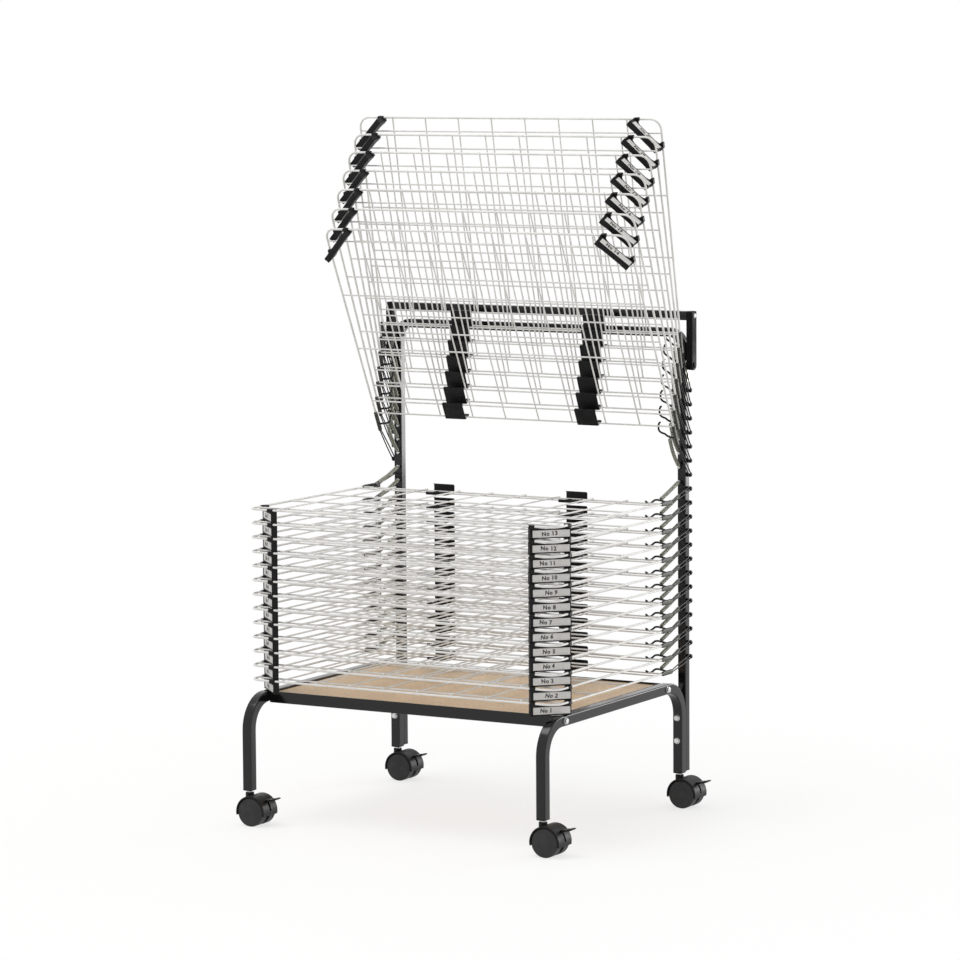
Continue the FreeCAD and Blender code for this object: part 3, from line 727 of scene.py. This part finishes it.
for end in (-1, 1):
    jaw = [(36.6, -CLIP_IN), (37.6, 2.0), (31.6, 8.4), (29.6, 8.6), (27.6, 6.6),
           (27.0, 1.0), (27.0, -CLIP_IN)]
    clip_parts.append(plate("jaw", [(end * u, -out, -4.4) for u, out in jaw],
                            (0, 0, 6.6), black_plastic, 0.8))
clip_body = joined("clip_model", clip_parts)
card = block("card_model", (WINDOW_LEFT + 0.2, 0.6 - CLIP_OUT, WINDOW_FOOT + 0.2),
             (WINDOW_RIGHT - 0.2, 1.2 - CLIP_OUT, WINDOW_TOP - 0.2), label_card, 0.15, 1)

half_root = math.sqrt(0.5)
CLIP_CUT = 50
clip_middle = Vector((HALF - CLIP_CUT / 2, FRONT + CLIP_CUT / 2, PLANE)) * MM


def clip_place(side, slide=0.0, turn=0.0):
    """Carries the clip's own axes (along, inward, up) to a front corner."""
    along = Vector((half_root, side * half_root, 0))
    inward = Vector((-side * half_root, half_root, 0))
    place = Matrix((along, inward, Vector((0, 0, 1)))).transposed().to_4x4()
    return (Matrix.Translation((side * clip_middle.x, clip_middle.y, clip_middle.z))
            @ place @ Matrix.Translation((slide * MM, 0, 0))
            @ Matrix.Rotation(math.radians(turn), 4, "Z"))


LETTERS, INK_DEPTH, PEN = 9.6, 0.06, 0.4


def number_on_card(number, hand):
    """The shelf's number in ink, a little uneven as a hand writes it."""
    letters = bpy.data.curves.new("number", "FONT")
    letters.body = "No %d" % number
    letters.size, letters.extrude, letters.offset = LETTERS * MM, INK_DEPTH * MM, PEN * MM
    letters.align_x, letters.align_y = "CENTER", "CENTER"
    letters.resolution_u = 2
    letters.space_character = hand.uniform(1.0, 1.15)
    letters.shear = hand.uniform(-0.15, 0.25)
    text = linked("number", letters)
    graph = bpy.context.evaluated_depsgraph_get()
    mesh = bpy.data.meshes.new_from_object(text.evaluated_get(graph))
    bpy.data.objects.remove(text)
    mesh.materials.clear()
    mesh.materials.append(label_ink)
    stand = Matrix.Rotation(math.radians(90), 4, "X")
    tilt = Matrix.Rotation(math.radians(hand.uniform(-4, 4)), 4, "Y")
    shift = Matrix.Translation(Vector((hand.uniform(-9, 1), 0.55 - CLIP_OUT,
                                       (WINDOW_FOOT + WINDOW_TOP) / 2)) * MM)
    mesh.transform(shift @ tilt @ stand)
    return linked("ink", mesh)


print("clip:", len(clip_body.data.polygons), "faces")

# %% [markdown]
# ## Rear stops and hinge arms
#
# Two black angles keep the paper from sliding out at the back.  At each rear
# corner a flattened sleeve ends the side wire, and a hairpin of blackened
# wire runs from it up to the stud that it turns on.  A bent hook beside it
# takes the spring.

# %% Rear stops, sleeves, hairpins and hooks
STOP_X, STOP_WIDE, STOP_WALL, STOP_TOP, STOP_ROUND = 136, 42, 2.2, -3, 3
stop_low = PLANE + EDGE_WIRE / 2 - GRID_WIRE
fore, back_face = REAR - EDGE_BAY - GRID_WIRE / 2, REAR + GRID_WIRE / 2
stops = []
for side in (-1, 1):
    x = side * STOP_X - STOP_WIDE / 2
    foot = [(x, fore - 1.8, stop_low + 3.2), (x, fore - 1.8, stop_low - STOP_WALL),
            (x, back_face + STOP_WALL, stop_low - STOP_WALL),
            (x, back_face + STOP_WALL, stop_low), (x, fore - 0.2, stop_low),
            (x, fore - 0.2, stop_low + 3.2)]
    stops.append(plate("stop_foot", foot, (STOP_WIDE, 0, 0), black_plastic, 0.7))
    upright = [(x, stop_low - STOP_WALL), (x + STOP_WIDE, stop_low - STOP_WALL)]
    upright += arc((x + STOP_WIDE - STOP_ROUND, STOP_TOP - STOP_ROUND), STOP_ROUND,
                   range(0, 91, 18))
    upright += [(x + 1.2, STOP_TOP), (x - 1.2, STOP_TOP + 0.3), (x, STOP_TOP - 2.5)]
    stops.append(plate("stop_back", [(u, back_face, z) for u, z in upright],
                       (0, STOP_WALL, 0), black_plastic, 0.6))
    for grip in (REAR, REAR - EDGE_BAY):
        for place in (6, STOP_WIDE - 12):
            stops.append(block("grip", (x + place, grip - 3.0, stop_low - 0.6),
                               (x + place + 6, grip + 3.0, stop_low + 1.9),
                               black_plastic, 0.8))
rear_stops = joined("rear_stops_model", stops)

LOOP_WIRE, LOOP_ROOM, LOOP_PINCH, LOOP_NECK = 2.2, 3.45, 1.7, 0.45
SLEEVE_END, SLEEVE_HALF, SLEEVE_TALL, MOUTH_HALF = -71, 2.6, 4.1, 2.9
along = Vector((0, SLEEVE_END, PLANE)).normalized()
over = Vector((0, -along.z, along.y))


def hairpin_point(ahead, sideways):
    """A point of the hairpin, measured along it from the stud."""
    point = along * ahead + over * sideways
    return (HALF, point.y, point.z)


reach = Vector((0, SLEEVE_END, PLANE)).length
hairpin = wire("hairpin", [[
    (HALF, SLEEVE_END - 9, PLANE - LOOP_PINCH), (HALF, SLEEVE_END - 1, PLANE - LOOP_PINCH),
    hairpin_point(reach * LOOP_NECK, LOOP_ROOM), hairpin_point(-LOOP_ROOM, LOOP_ROOM),
    hairpin_point(-LOOP_ROOM, -LOOP_ROOM), hairpin_point(reach * LOOP_NECK, -LOOP_ROOM),
    (HALF, SLEEVE_END - 1, PLANE + LOOP_PINCH), (HALF, SLEEVE_END - 9, PLANE + LOOP_PINCH)]],
    LOOP_WIRE, LOOP_ROOM, black_wire)
sleeve = joined("sleeve", [
    block("sleeve_tube", (HALF - SLEEVE_HALF, REAR + 2, PLANE - SLEEVE_TALL),
          (HALF + SLEEVE_HALF, SLEEVE_END, PLANE + SLEEVE_TALL), sleeve_steel, 2.3, 4),
    block("sleeve_mouth", (HALF - MOUTH_HALF, REAR - 2, PLANE - MOUTH_HALF),
          (HALF + MOUTH_HALF, REAR + 5, PLANE + MOUTH_HALF), sleeve_steel, 1.6, 3)])
hinge_arm = joined("hinge_arm", [sleeve, hairpin])

HOOK_WIRE, SPRING_X, HOOK_Y = 3.6, 290, REAR + 24
hook_height = PLANE + 4.2
hook = wire("hook", [[(279.5, REAR - 6.2, PLANE + 3.4), (275.5, REAR - 2.5, PLANE + 4.4),
                      (274.5, REAR + 3.5, PLANE + 2.4), (276, REAR + 8.5, PLANE - 1.6),
                      (279, REAR + 13, PLANE), (283, REAR + 18.5, PLANE + 4.8),
                      (287, HOOK_Y - 1, hook_height + 0.6), (293, HOOK_Y, hook_height - 0.6),
                      (HALF - 1.5, HOOK_Y, PLANE + 1.0)]],
            HOOK_WIRE, 6, black_wire, 8, 4)
hinge_arm = joined("hinge_arm", [hinge_arm, hook])
hinge_arms = joined("hinge_arms_model", [hinge_arm, mirrored(hinge_arm, "other_arm")])
print("hinge arms:", len(hinge_arms.data.polygons), "faces")

# %% [markdown]
# ## Twenty shelves
#
# The hinges of the solid model say where each shelf turns and how far it
# leans at rest, so each copy is turned about its own hinge by that angle.

# %% Carry the shelf to its places
hinges = {joint["name"]: joint for joint in frame["joints"]}
shelf_places = {}
for number in range(1, 21):
    hinge = hinges["shelf_%02d_lift" % number]
    lean = math.radians(-hinge["range_deg"][0])
    place = Matrix.Translation(hinge["pos_m"]) @ Matrix.Rotation(lean, 4, (-1, 0, 0))
    shelf_places[number] = (place, lean)
    tag = "shelf_%02d" % number
    body = "wire_" + tag
    wires = moved(shelf_wires, tag + "_wires", place)
    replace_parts(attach(wires, body), tag)
    clips = []
    for side in (-1, 1):
        hand = random.Random(number * 2 + (side > 0))
        spot = place @ clip_place(side, hand.uniform(-0.7, 0.7), hand.uniform(-0.5, 0.5))
        clips += [moved(clip_body, "clip", spot), moved(card, "card", spot)]
        ink = number_on_card(number, hand)
        ink.data.transform(spot)
        clips.append(ink)
    clips = joined(tag + "_label_clips", clips)
    stops = moved(rear_stops, tag + "_rear_stops", place)
    arms = moved(hinge_arms, tag + "_hinge_arms", place)
    for piece, slot in ((clips, "black_plastic"), (stops, "black_plastic"),
                        (arms, "shelf_wire")):
        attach(piece, body)
dropped(shelf_wires, clip_body, card, rear_stops, hinge_arms)
print("shelves:", len(shelf_places))

# %% [markdown]
# ## Studs and pins
#
# The shelves turn on black bushes along the outer faces of the uprights, and
# the springs hook on small bright pins in front.  Each kind is one model set
# at every pitch by the same tree that set the bolts.

# %% Hinge studs and spring pins
UPRIGHT_SIDE = LEG_X + BACK_TUBE / 2
heights = [place.translation.z / MM for place, lean in shelf_places.values()]
bush = turned_piece("bush_model", [(0, 4.2), (1.6, 4.2), (2.2, 3.6), (2.4, 2.0), (6.4, 2.0),
                                   (6.5, 3.9), (7.6, 3.9), (8.4, 2.9), (8.6, 1.0)],
                    black_plastic, 16)
for side, tag in ((-1, "left"), (1, "right")):
    studs = set_pieces("hinge_bushes_" + tag, bush,
                       [(side * UPRIGHT_SIDE, UPRIGHT_Y, z) for z in heights],
                       (0, 90 * side, 0), black_plastic)
    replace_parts(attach(studs, "frame"), "hinge_studs_" + tag)
pin = turned_piece("pin_model", [(0, 1.5), (4.6, 1.5), (4.8, 2.5), (5.6, 2.5), (6.0, 1.8)],
                   zinc, 12)
PIN_RISE = 13
pins_set = set_pieces("spring_pins_set", pin,
                      [(side * SPRING_X, UPRIGHT_FRONT, z + PIN_RISE)
                       for side in (-1, 1) for z in heights], TO_FRONT, zinc)
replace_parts(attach(pins_set, "frame"), "spring_pins")
dropped(bush, pin)

# %% [markdown]
# ## Coil springs
#
# A tension spring is a close helix with a loop at each end.  The tree winds
# the helix from its length, turns and radius, and bows it sideways, because
# the springs of the raised shelves have gone slack.

# %% The coil tree
coil_spring, pins = tree("coil spring", Length=0.06, Turns=50.0, Coil=0.003,
                         Radius=0.0005, Bow=0.0, Material="Material")
helix = add(coil_spring, "GeometryNodeCurveSpiral", [
    ("Resolution", 9), ("Rotations", pins["Turns"]), ("Start Radius", pins["Coil"]),
    ("End Radius", pins["Coil"]), ("Height", pins["Length"])])
ends = add(coil_spring, "GeometryNodeMeshToCurve", [("Mesh", pins["Geometry"])])
whole = coil_spring.nodes.new("GeometryNodeJoinGeometry")
for part in (helix, ends):
    coil_spring.links.new(part, whole.inputs[0])
spot = add(coil_spring, "GeometryNodeInputPosition")
split = coil_spring.nodes.new("ShaderNodeSeparateXYZ")
coil_spring.links.new(spot, split.inputs[0])
share = maths(coil_spring, "DIVIDE", split.outputs["Z"], pins["Length"])
sine = maths(coil_spring, "SINE", maths(coil_spring, "MULTIPLY", share, math.pi))
sag = maths(coil_spring, "MULTIPLY", sine, pins["Bow"])
bowed = add(coil_spring, "GeometryNodeSetPosition",
            [("Geometry", whole.outputs[0]), ("Offset", vector(coil_spring, y=sag))])
wired(coil_spring, bowed, 5, pins)

# %% Springs between hooks and pins
END_LOOP, COIL_RADIUS, COIL_PITCH, COIL_WIRE = 5.0, 3.0, 1.25, 1.0
TIGHT_BOW, SLACK_BOW = 0.6, 3.5


def end_loop(radius, start, stop, plane, z):
    """A round end loop in the spring's own axes."""
    turns = [start + (stop - start) * k / 10 for k in range(11)]
    return [(u, 0, v) if plane == "X" else (0, u, v)
            for u, v in arc((0, z), radius, turns)]


def spring_piece(name, side, place, bow):
    """One spring from the hook of a shelf to its pin on the upright."""
    foot = place @ (Vector((side * SPRING_X, HOOK_Y, hook_height)) * MM)
    top = Vector((side * SPRING_X, UPRIGHT_FRONT - 3,
                  place.translation.z / MM + PIN_RISE)) * MM
    run = top - foot
    body = run.length / MM - 2 * END_LOOP
    lower = [(COIL_RADIUS, 0, 0), (0, 1.2, -1.6)] + end_loop(
        2.3, 70, 380, "Y", -END_LOOP)
    upper = [(COIL_RADIUS, 0, body), (1, 0, body + 1.6)] + end_loop(
        2.4, -70, 240, "X", body + END_LOOP)
    piece = grown(name, coil_spring, route(lower, upper), Length=body * MM,
                  Turns=float(int(body / COIL_PITCH)), Coil=COIL_RADIUS * MM,
                  Radius=COIL_WIRE / 2 * MM, Bow=bow * MM, Material=spring_steel)
    up = run.normalized()
    across = Vector((1, 0, 0))
    turn = Matrix((across, up.cross(across), up)).transposed().to_4x4()
    piece.data.transform(Matrix.Translation(foot + up * END_LOOP * MM) @ turn)
    return piece, foot, top


for number, (place, lean) in shelf_places.items():
    pair = []
    for side in (-1, 1):
        piece, foot, top = spring_piece("spring", side, place,
                                        SLACK_BOW if lean else TIGHT_BOW)
        pair.append(piece)
    pair = smooth(joined("shelf_%02d_springs" % number, pair), 80)
    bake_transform(pair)
    if number in (1, 14):
        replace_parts(pair, "springs_lowered" if number == 1 else "springs_raised")
print("springs:", len(shelf_places), "pairs,", len(pair.data.polygons), "faces each")

# %% [markdown]
# ## The retainer
#
# Above the uprights a bar swings on two arms and keeps the raised shelves
# from falling back over the frame.  Small brackets of spring steel, bolted to
# the uprights, carry its black pivots.

# %% Retainer bar, arms and plates
ARM_IN, ARM_OUT, ARM_HALF, PIVOT, BAR_TOP = 303.3, 315.6, 9.4, 788, 883
BAR_MIDDLE = BAR_TOP - BACK_TUBE / 2
BRACKET_FOOT, BRACKET_BOLT, BRACKET_HALF, BRACKET_WALL = 757, 768, 10, 2
BRACKET_SIDE = UPRIGHT_SIDE + BRACKET_WALL
crossbar = tube("retainer_bar", [(-ARM_IN, UPRIGHT_Y, BAR_MIDDLE),
                                 (ARM_IN, UPRIGHT_Y, BAR_MIDDLE)], BACK_TUBE, 1, 1.8)
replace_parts(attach(crossbar, "retainer"), "retainer_crossbar")



def side_plates(name, outline, inner, outer, material, *edge):
    """The same plate on both sides of the rack, its outline in (y, z)."""
    return joined(name, [
        plate("plate", [(inner if side > 0 else -outer, UPRIGHT_Y + y, z) for y, z in outline],
              (outer - inner, 0, 0), material, *edge) for side in (-1, 1)])


outline = [(ARM_HALF, BAR_TOP), (-ARM_HALF, BAR_TOP)] + arc(
    (0, PIVOT), ARM_HALF, range(180, 361, 15))
arms = side_plates("retainer_arms_pair", outline, ARM_IN, ARM_OUT, matt_black, 2.2, 3)
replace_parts(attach(arms, "retainer"), "retainer_arms")

rivet = turned_piece("rivet_model", [(0, 4.4), (0.8, 4.4), (1.6, 3.7), (2.2, 2.2), (2.4, 0.4)],
                     zinc, 20)
rivets = on_both_sides("retainer_rivet_heads", rivet, ARM_OUT,
                       [(UPRIGHT_Y, BAR_MIDDLE)], zinc)
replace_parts(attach(rivets, "retainer"), "retainer_rivets")

outline = [(-BRACKET_HALF, BRACKET_FOOT), (BRACKET_HALF, BRACKET_FOOT)] + arc(
    (0, PIVOT), BRACKET_HALF, range(0, 181, 15))
plates = side_plates("retainer_brackets", outline, UPRIGHT_SIDE, BRACKET_SIDE,
                     spring_steel, 0.4)
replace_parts(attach(plates, "frame"), "retainer_plates")

small_head = bolt_head(10, 3)
pivot_pin = turned_piece("pivot_model", [(0, 3), (12.8, 3), (12.9, 5), (13.8, 5),
                                         (14.3, 4.2), (14.5, 1)], matt_black, 24)
pivots = joined("retainer_pivots", [
    on_both_sides("pivots", model, BRACKET_SIDE, [(UPRIGHT_Y, z)], coat)
    for model, z, coat in ((pivot_pin, PIVOT, matt_black),
                           (small_head, BRACKET_BOLT, zinc))])
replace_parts(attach(pivots, "frame"), "retainer_pins")
dropped(rivet, small_head, pivot_pin)

# %% [markdown]
# ## Casters
#
# A furniture caster has two wheels under one hood, a boss that turns on the
# stem, and a toe lever that brakes it.  The hood is a bent band, the wheels
# are turned shapes with a soft tread, and a plug closes the foot of the tube.

# %% One caster's pieces
WHEEL_R, WHEEL_IN, WHEEL_OUT, TRAIL = 25, 4.5, 22.5, 14
HOOD_IN, HOOD_OUT, HOOD_HALF, HOOD_FROM, HOOD_TO = 26.6, 28.8, 22.8, -12, 192
WEB_OUT, WEB_HALF, SLOT_HALF = 26.9, 4, 2.6
LEVER_X, LEVER_Z, LEVER_TILT, LEVER_HALF = 37.9, 45.06, math.radians(12), 8


def round_axle(radius, y, angles):
    """Points round the axle at the given angles, in degrees."""
    return [(x, y, z) for x, z in arc((TRAIL, WHEEL_R), radius, angles)]


def hood():
    """A band over both wheels with rims, a web between them and a boss."""
    lip, rim = HOOD_IN - 0.9, HOOD_HALF - 1.3
    section = [(-HOOD_HALF, lip), (-HOOD_HALF, HOOD_OUT - 0.5),
               (-HOOD_HALF + 1.2, HOOD_OUT), (HOOD_HALF - 1.2, HOOD_OUT),
               (HOOD_HALF, HOOD_OUT - 0.5), (HOOD_HALF, lip),
               (rim, lip), (rim, HOOD_IN), (-rim, HOOD_IN), (-rim, lip)]
    turns = [HOOD_FROM + (HOOD_TO - HOOD_FROM) * k / 28 for k in range(29)]
    rings = [[round_axle(radius, y, [turn])[0] for y, radius in section]
             for turn in turns]
    band = lofted("band", rings, black_plastic, 0.35)
    outline = round_axle(WEB_OUT, -WEB_HALF, range(HOOD_FROM, HOOD_TO + 1, 6))
    outline += [(TRAIL - 7, -WEB_HALF, 14), (TRAIL + 7, -WEB_HALF, 14)]
    web = plate("web", outline, (0, 2 * WEB_HALF, 0), black_plastic, 0.4)
    outline = (round_axle(22.5, -SLOT_HALF, (4, 12, 20, 28, 35))
               + round_axle(32, -SLOT_HALF, (35, 20, 4)))
    slot = plate("lever_slot", outline, (0, 2 * SLOT_HALF, 0), black_plastic)
    for piece in (band, web):
        smooth(cut(piece, slot))
    dropped(slot)
    boss = turned_piece("boss", [(42, 7.5), (56.2, 7.5), (57, 6.8), (57, 4.2)],
                        black_plastic, 28)
    return joined("hood_model", [band, web, boss])


def wheel(side):
    """A wheel with a domed face, a soft shoulder and a shallow tread line."""
    profile = [(WHEEL_IN, 8), (WHEEL_IN, WHEEL_R - 1.8), (WHEEL_IN + 0.8, WHEEL_R - 0.4),
               (WHEEL_IN + 2.2, WHEEL_R), (12.6, WHEEL_R), (12.9, WHEEL_R - 0.5),
               (13.7, WHEEL_R - 0.5), (14.0, WHEEL_R), (20.0, WHEEL_R),
               (21.6, WHEEL_R - 0.5), (WHEEL_OUT - 0.2, WHEEL_R - 2),
               (WHEEL_OUT - 0.1, 20.6), (WHEEL_OUT - 0.5, 20.2), (WHEEL_OUT - 0.2, 19.6),
               (WHEEL_OUT + 0.3, 12), (WHEEL_OUT + 0.5, 4), (WHEEL_OUT + 0.5, 0.2)]
    return turned_piece("wheel_model", profile, wheel_plastic, 56,
                        (TRAIL, 0, WHEEL_R), (0, side, 0))


def brake_lever():
    """A toe lever in two steps on a barrel at the back of the hood."""
    outline = [(-1.6, -1.9), (6, -2), (9.5, -1.2), (13.5, -2), (18, -1.6), (22, -0.2),
               (22, 0.6), (19.5, 1.9), (14.8, 2), (12.2, 0.9), (9, 2), (-1.6, 1.9)]
    points = [(LEVER_X + u * math.cos(LEVER_TILT) - v * math.sin(LEVER_TILT), -LEVER_HALF,
               LEVER_Z + u * math.sin(LEVER_TILT) + v * math.cos(LEVER_TILT))
              for u, v in outline]
    pad = plate("pad", points, (0, 2 * LEVER_HALF, 0), black_plastic, 0.6)
    barrel = turned_piece("barrel", [(-LEVER_HALF, 1.6), (0.4 - LEVER_HALF, 2.1),
                                     (LEVER_HALF - 0.4, 2.1), (LEVER_HALF, 1.6)],
                          black_plastic, 16, (LEVER_X, 0, LEVER_Z), (0, 1, 0))
    return joined("brake_model", [pad, barrel])


def tube_plug():
    """The plug in the foot of a leg, its lower edge chamfered."""
    rim, core = LEG_TUBE / 2 - 0.3, LEG_TUBE / 2 - 1.8
    profile = [(rim - 2.3, LEG_FOOT - 2.6), (rim, LEG_FOOT - 1.4), (rim, LEG_FOOT),
               (core, LEG_FOOT + 0.1), (core, LEG_FOOT + 18)]
    rings = [[(sx * out, sy * out, z) for sx, sy in CORNERS] for out, z in profile]
    return lofted("plug_model", rings, black_plastic, 0.5)


models = {"housing": hood(), "wheel_front": wheel(-1), "wheel_rear": wheel(1),
          "brake": brake_lever()}
plug = tube_plug()
stem = turned_piece("stem_model", [(50, 4), (84, 4)], zinc, 20)
print("caster pieces:", {k: len(v.data.polygons) for k, v in models.items()})

# %% Four casters
bodies = {"housing": "swivel_", "wheel_front": "outer_wheel_",
          "wheel_rear": "inner_wheel_", "brake": "brake_"}
plugs, stems = [], []
for corner, words, sx, sy in (("fl", "front_left", -1, -1), ("fr", "front_right", 1, -1),
                              ("rl", "rear_left", -1, 1), ("rr", "rear_right", 1, 1)):
    place = Matrix.Translation((sx * LEG_X * MM, sy * LEG_Y * MM, 0))
    for key, model in models.items():
        piece = moved(model, "caster_%s_%s_moulding" % (corner, key), place)
        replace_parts(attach(piece, bodies[key] + words), "caster_%s_%s" % (corner, key))
    plugs.append(moved(plug, "plug", place))
    stems.append(moved(stem, "stem", place))
plugs, stems = joined("caster_tube_plugs", plugs), joined("caster_stem_pins", stems)
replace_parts(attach(plugs, "frame"), "caster_sockets")
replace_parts(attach(stems, "frame"), "caster_stems")
dropped(plug, stem, *models.values())

# %% [markdown]
# ## Floor and light
#
# The rack stands on a plain pale floor.  Near the rack the floor is a real
# surface and keeps the shadow.  Further out, rays from the camera and from
# reflections see it turn into the same white as the world, so no horizon
# shows.  Large soft lamps light the rack evenly, at a level where a colour
# shows about as it was written.

# %% Floor that fades into white
FLOOR_HALF = 30
floor_mesh = bpy.data.meshes.new("floor")
floor_mesh.from_pydata([(sx * FLOOR_HALF, sy * FLOOR_HALF, 0) for sx, sy in CORNERS], [],
                       [(0, 1, 2, 3)])
floor = linked("floor", floor_mesh)
pale_floor = finish("pale_floor", (0.93, 0.92, 0.905), 0.6, specular=0.2)
floor_mesh.materials.append(pale_floor)


def seen_rays(tree):
    """1 for rays from the camera, from reflections and through glass."""
    rays = tree.nodes.new("ShaderNodeLightPath").outputs
    total = rays["Is Camera Ray"]
    for kind in ("Is Glossy Ray", "Is Transmission Ray"):
        total = add(tree, "ShaderNodeMath", [(0, total), (1, rays[kind])],
                    operation="ADD", use_clamp=True)
    return total


def ends_mixed(tree, share, near, far, output):
    """Mixes two shaders by a share and closes the tree."""
    mixed = add(tree, "ShaderNodeMixShader", [("Fac", share), (1, near), (2, far)])
    tree.links.new(mixed, tree.nodes[output].inputs["Surface"])


shading = pale_floor.node_tree
distance = shading.nodes.new("ShaderNodeVectorMath")
distance.operation = "LENGTH"
shading.links.new(shading.nodes.new("ShaderNodeTexCoord").outputs["Object"],
                  distance.inputs[0])
far = spread(pale_floor, distance.outputs["Value"], 0.7, 1, 0.35, 1.6)
share = maths(shading, "MULTIPLY", far, seen_rays(shading))
ends_mixed(shading, share, shading.nodes["Principled BSDF"].outputs[0],
           add(shading, "ShaderNodeEmission"), "Material Output")

# %% World and lamps
world = bpy.data.worlds.new("studio")
bpy.context.scene.world = world
world.use_nodes = True
light = world.node_tree.nodes["Background"]
light.inputs["Color"].default_value = (1, 1, 1, 1)
light.inputs["Strength"].default_value = 0.68
backdrop = add(world.node_tree, "ShaderNodeBackground", [("Color", (1, 1, 1, 1))])
ends_mixed(world.node_tree, seen_rays(world.node_tree), light.outputs[0], backdrop,
           "World Output")


def lamp(name, place, target, width, power):
    """A large square lamp that looks at a point, in metres and watts."""
    light = bpy.data.lights.new(name, "AREA")
    light.size, light.energy = width, power
    holder = bpy.data.objects.new(name, light)
    bpy.context.scene.collection.objects.link(holder)
    holder.location = place
    holder.rotation_euler = (Vector(target) - Vector(place)).to_track_quat(
        "-Z", "Y").to_euler()


lamp("top_lamp", (-1.1, -1.2, 5.1), (0, 0, 0.6), 3.0, 110)
lamp("side_lamp", (3.0, 4.8, 0.9), (0, 0, 0.5), 2.4, 130)

bpy.context.scene.view_settings.view_transform = "Standard"
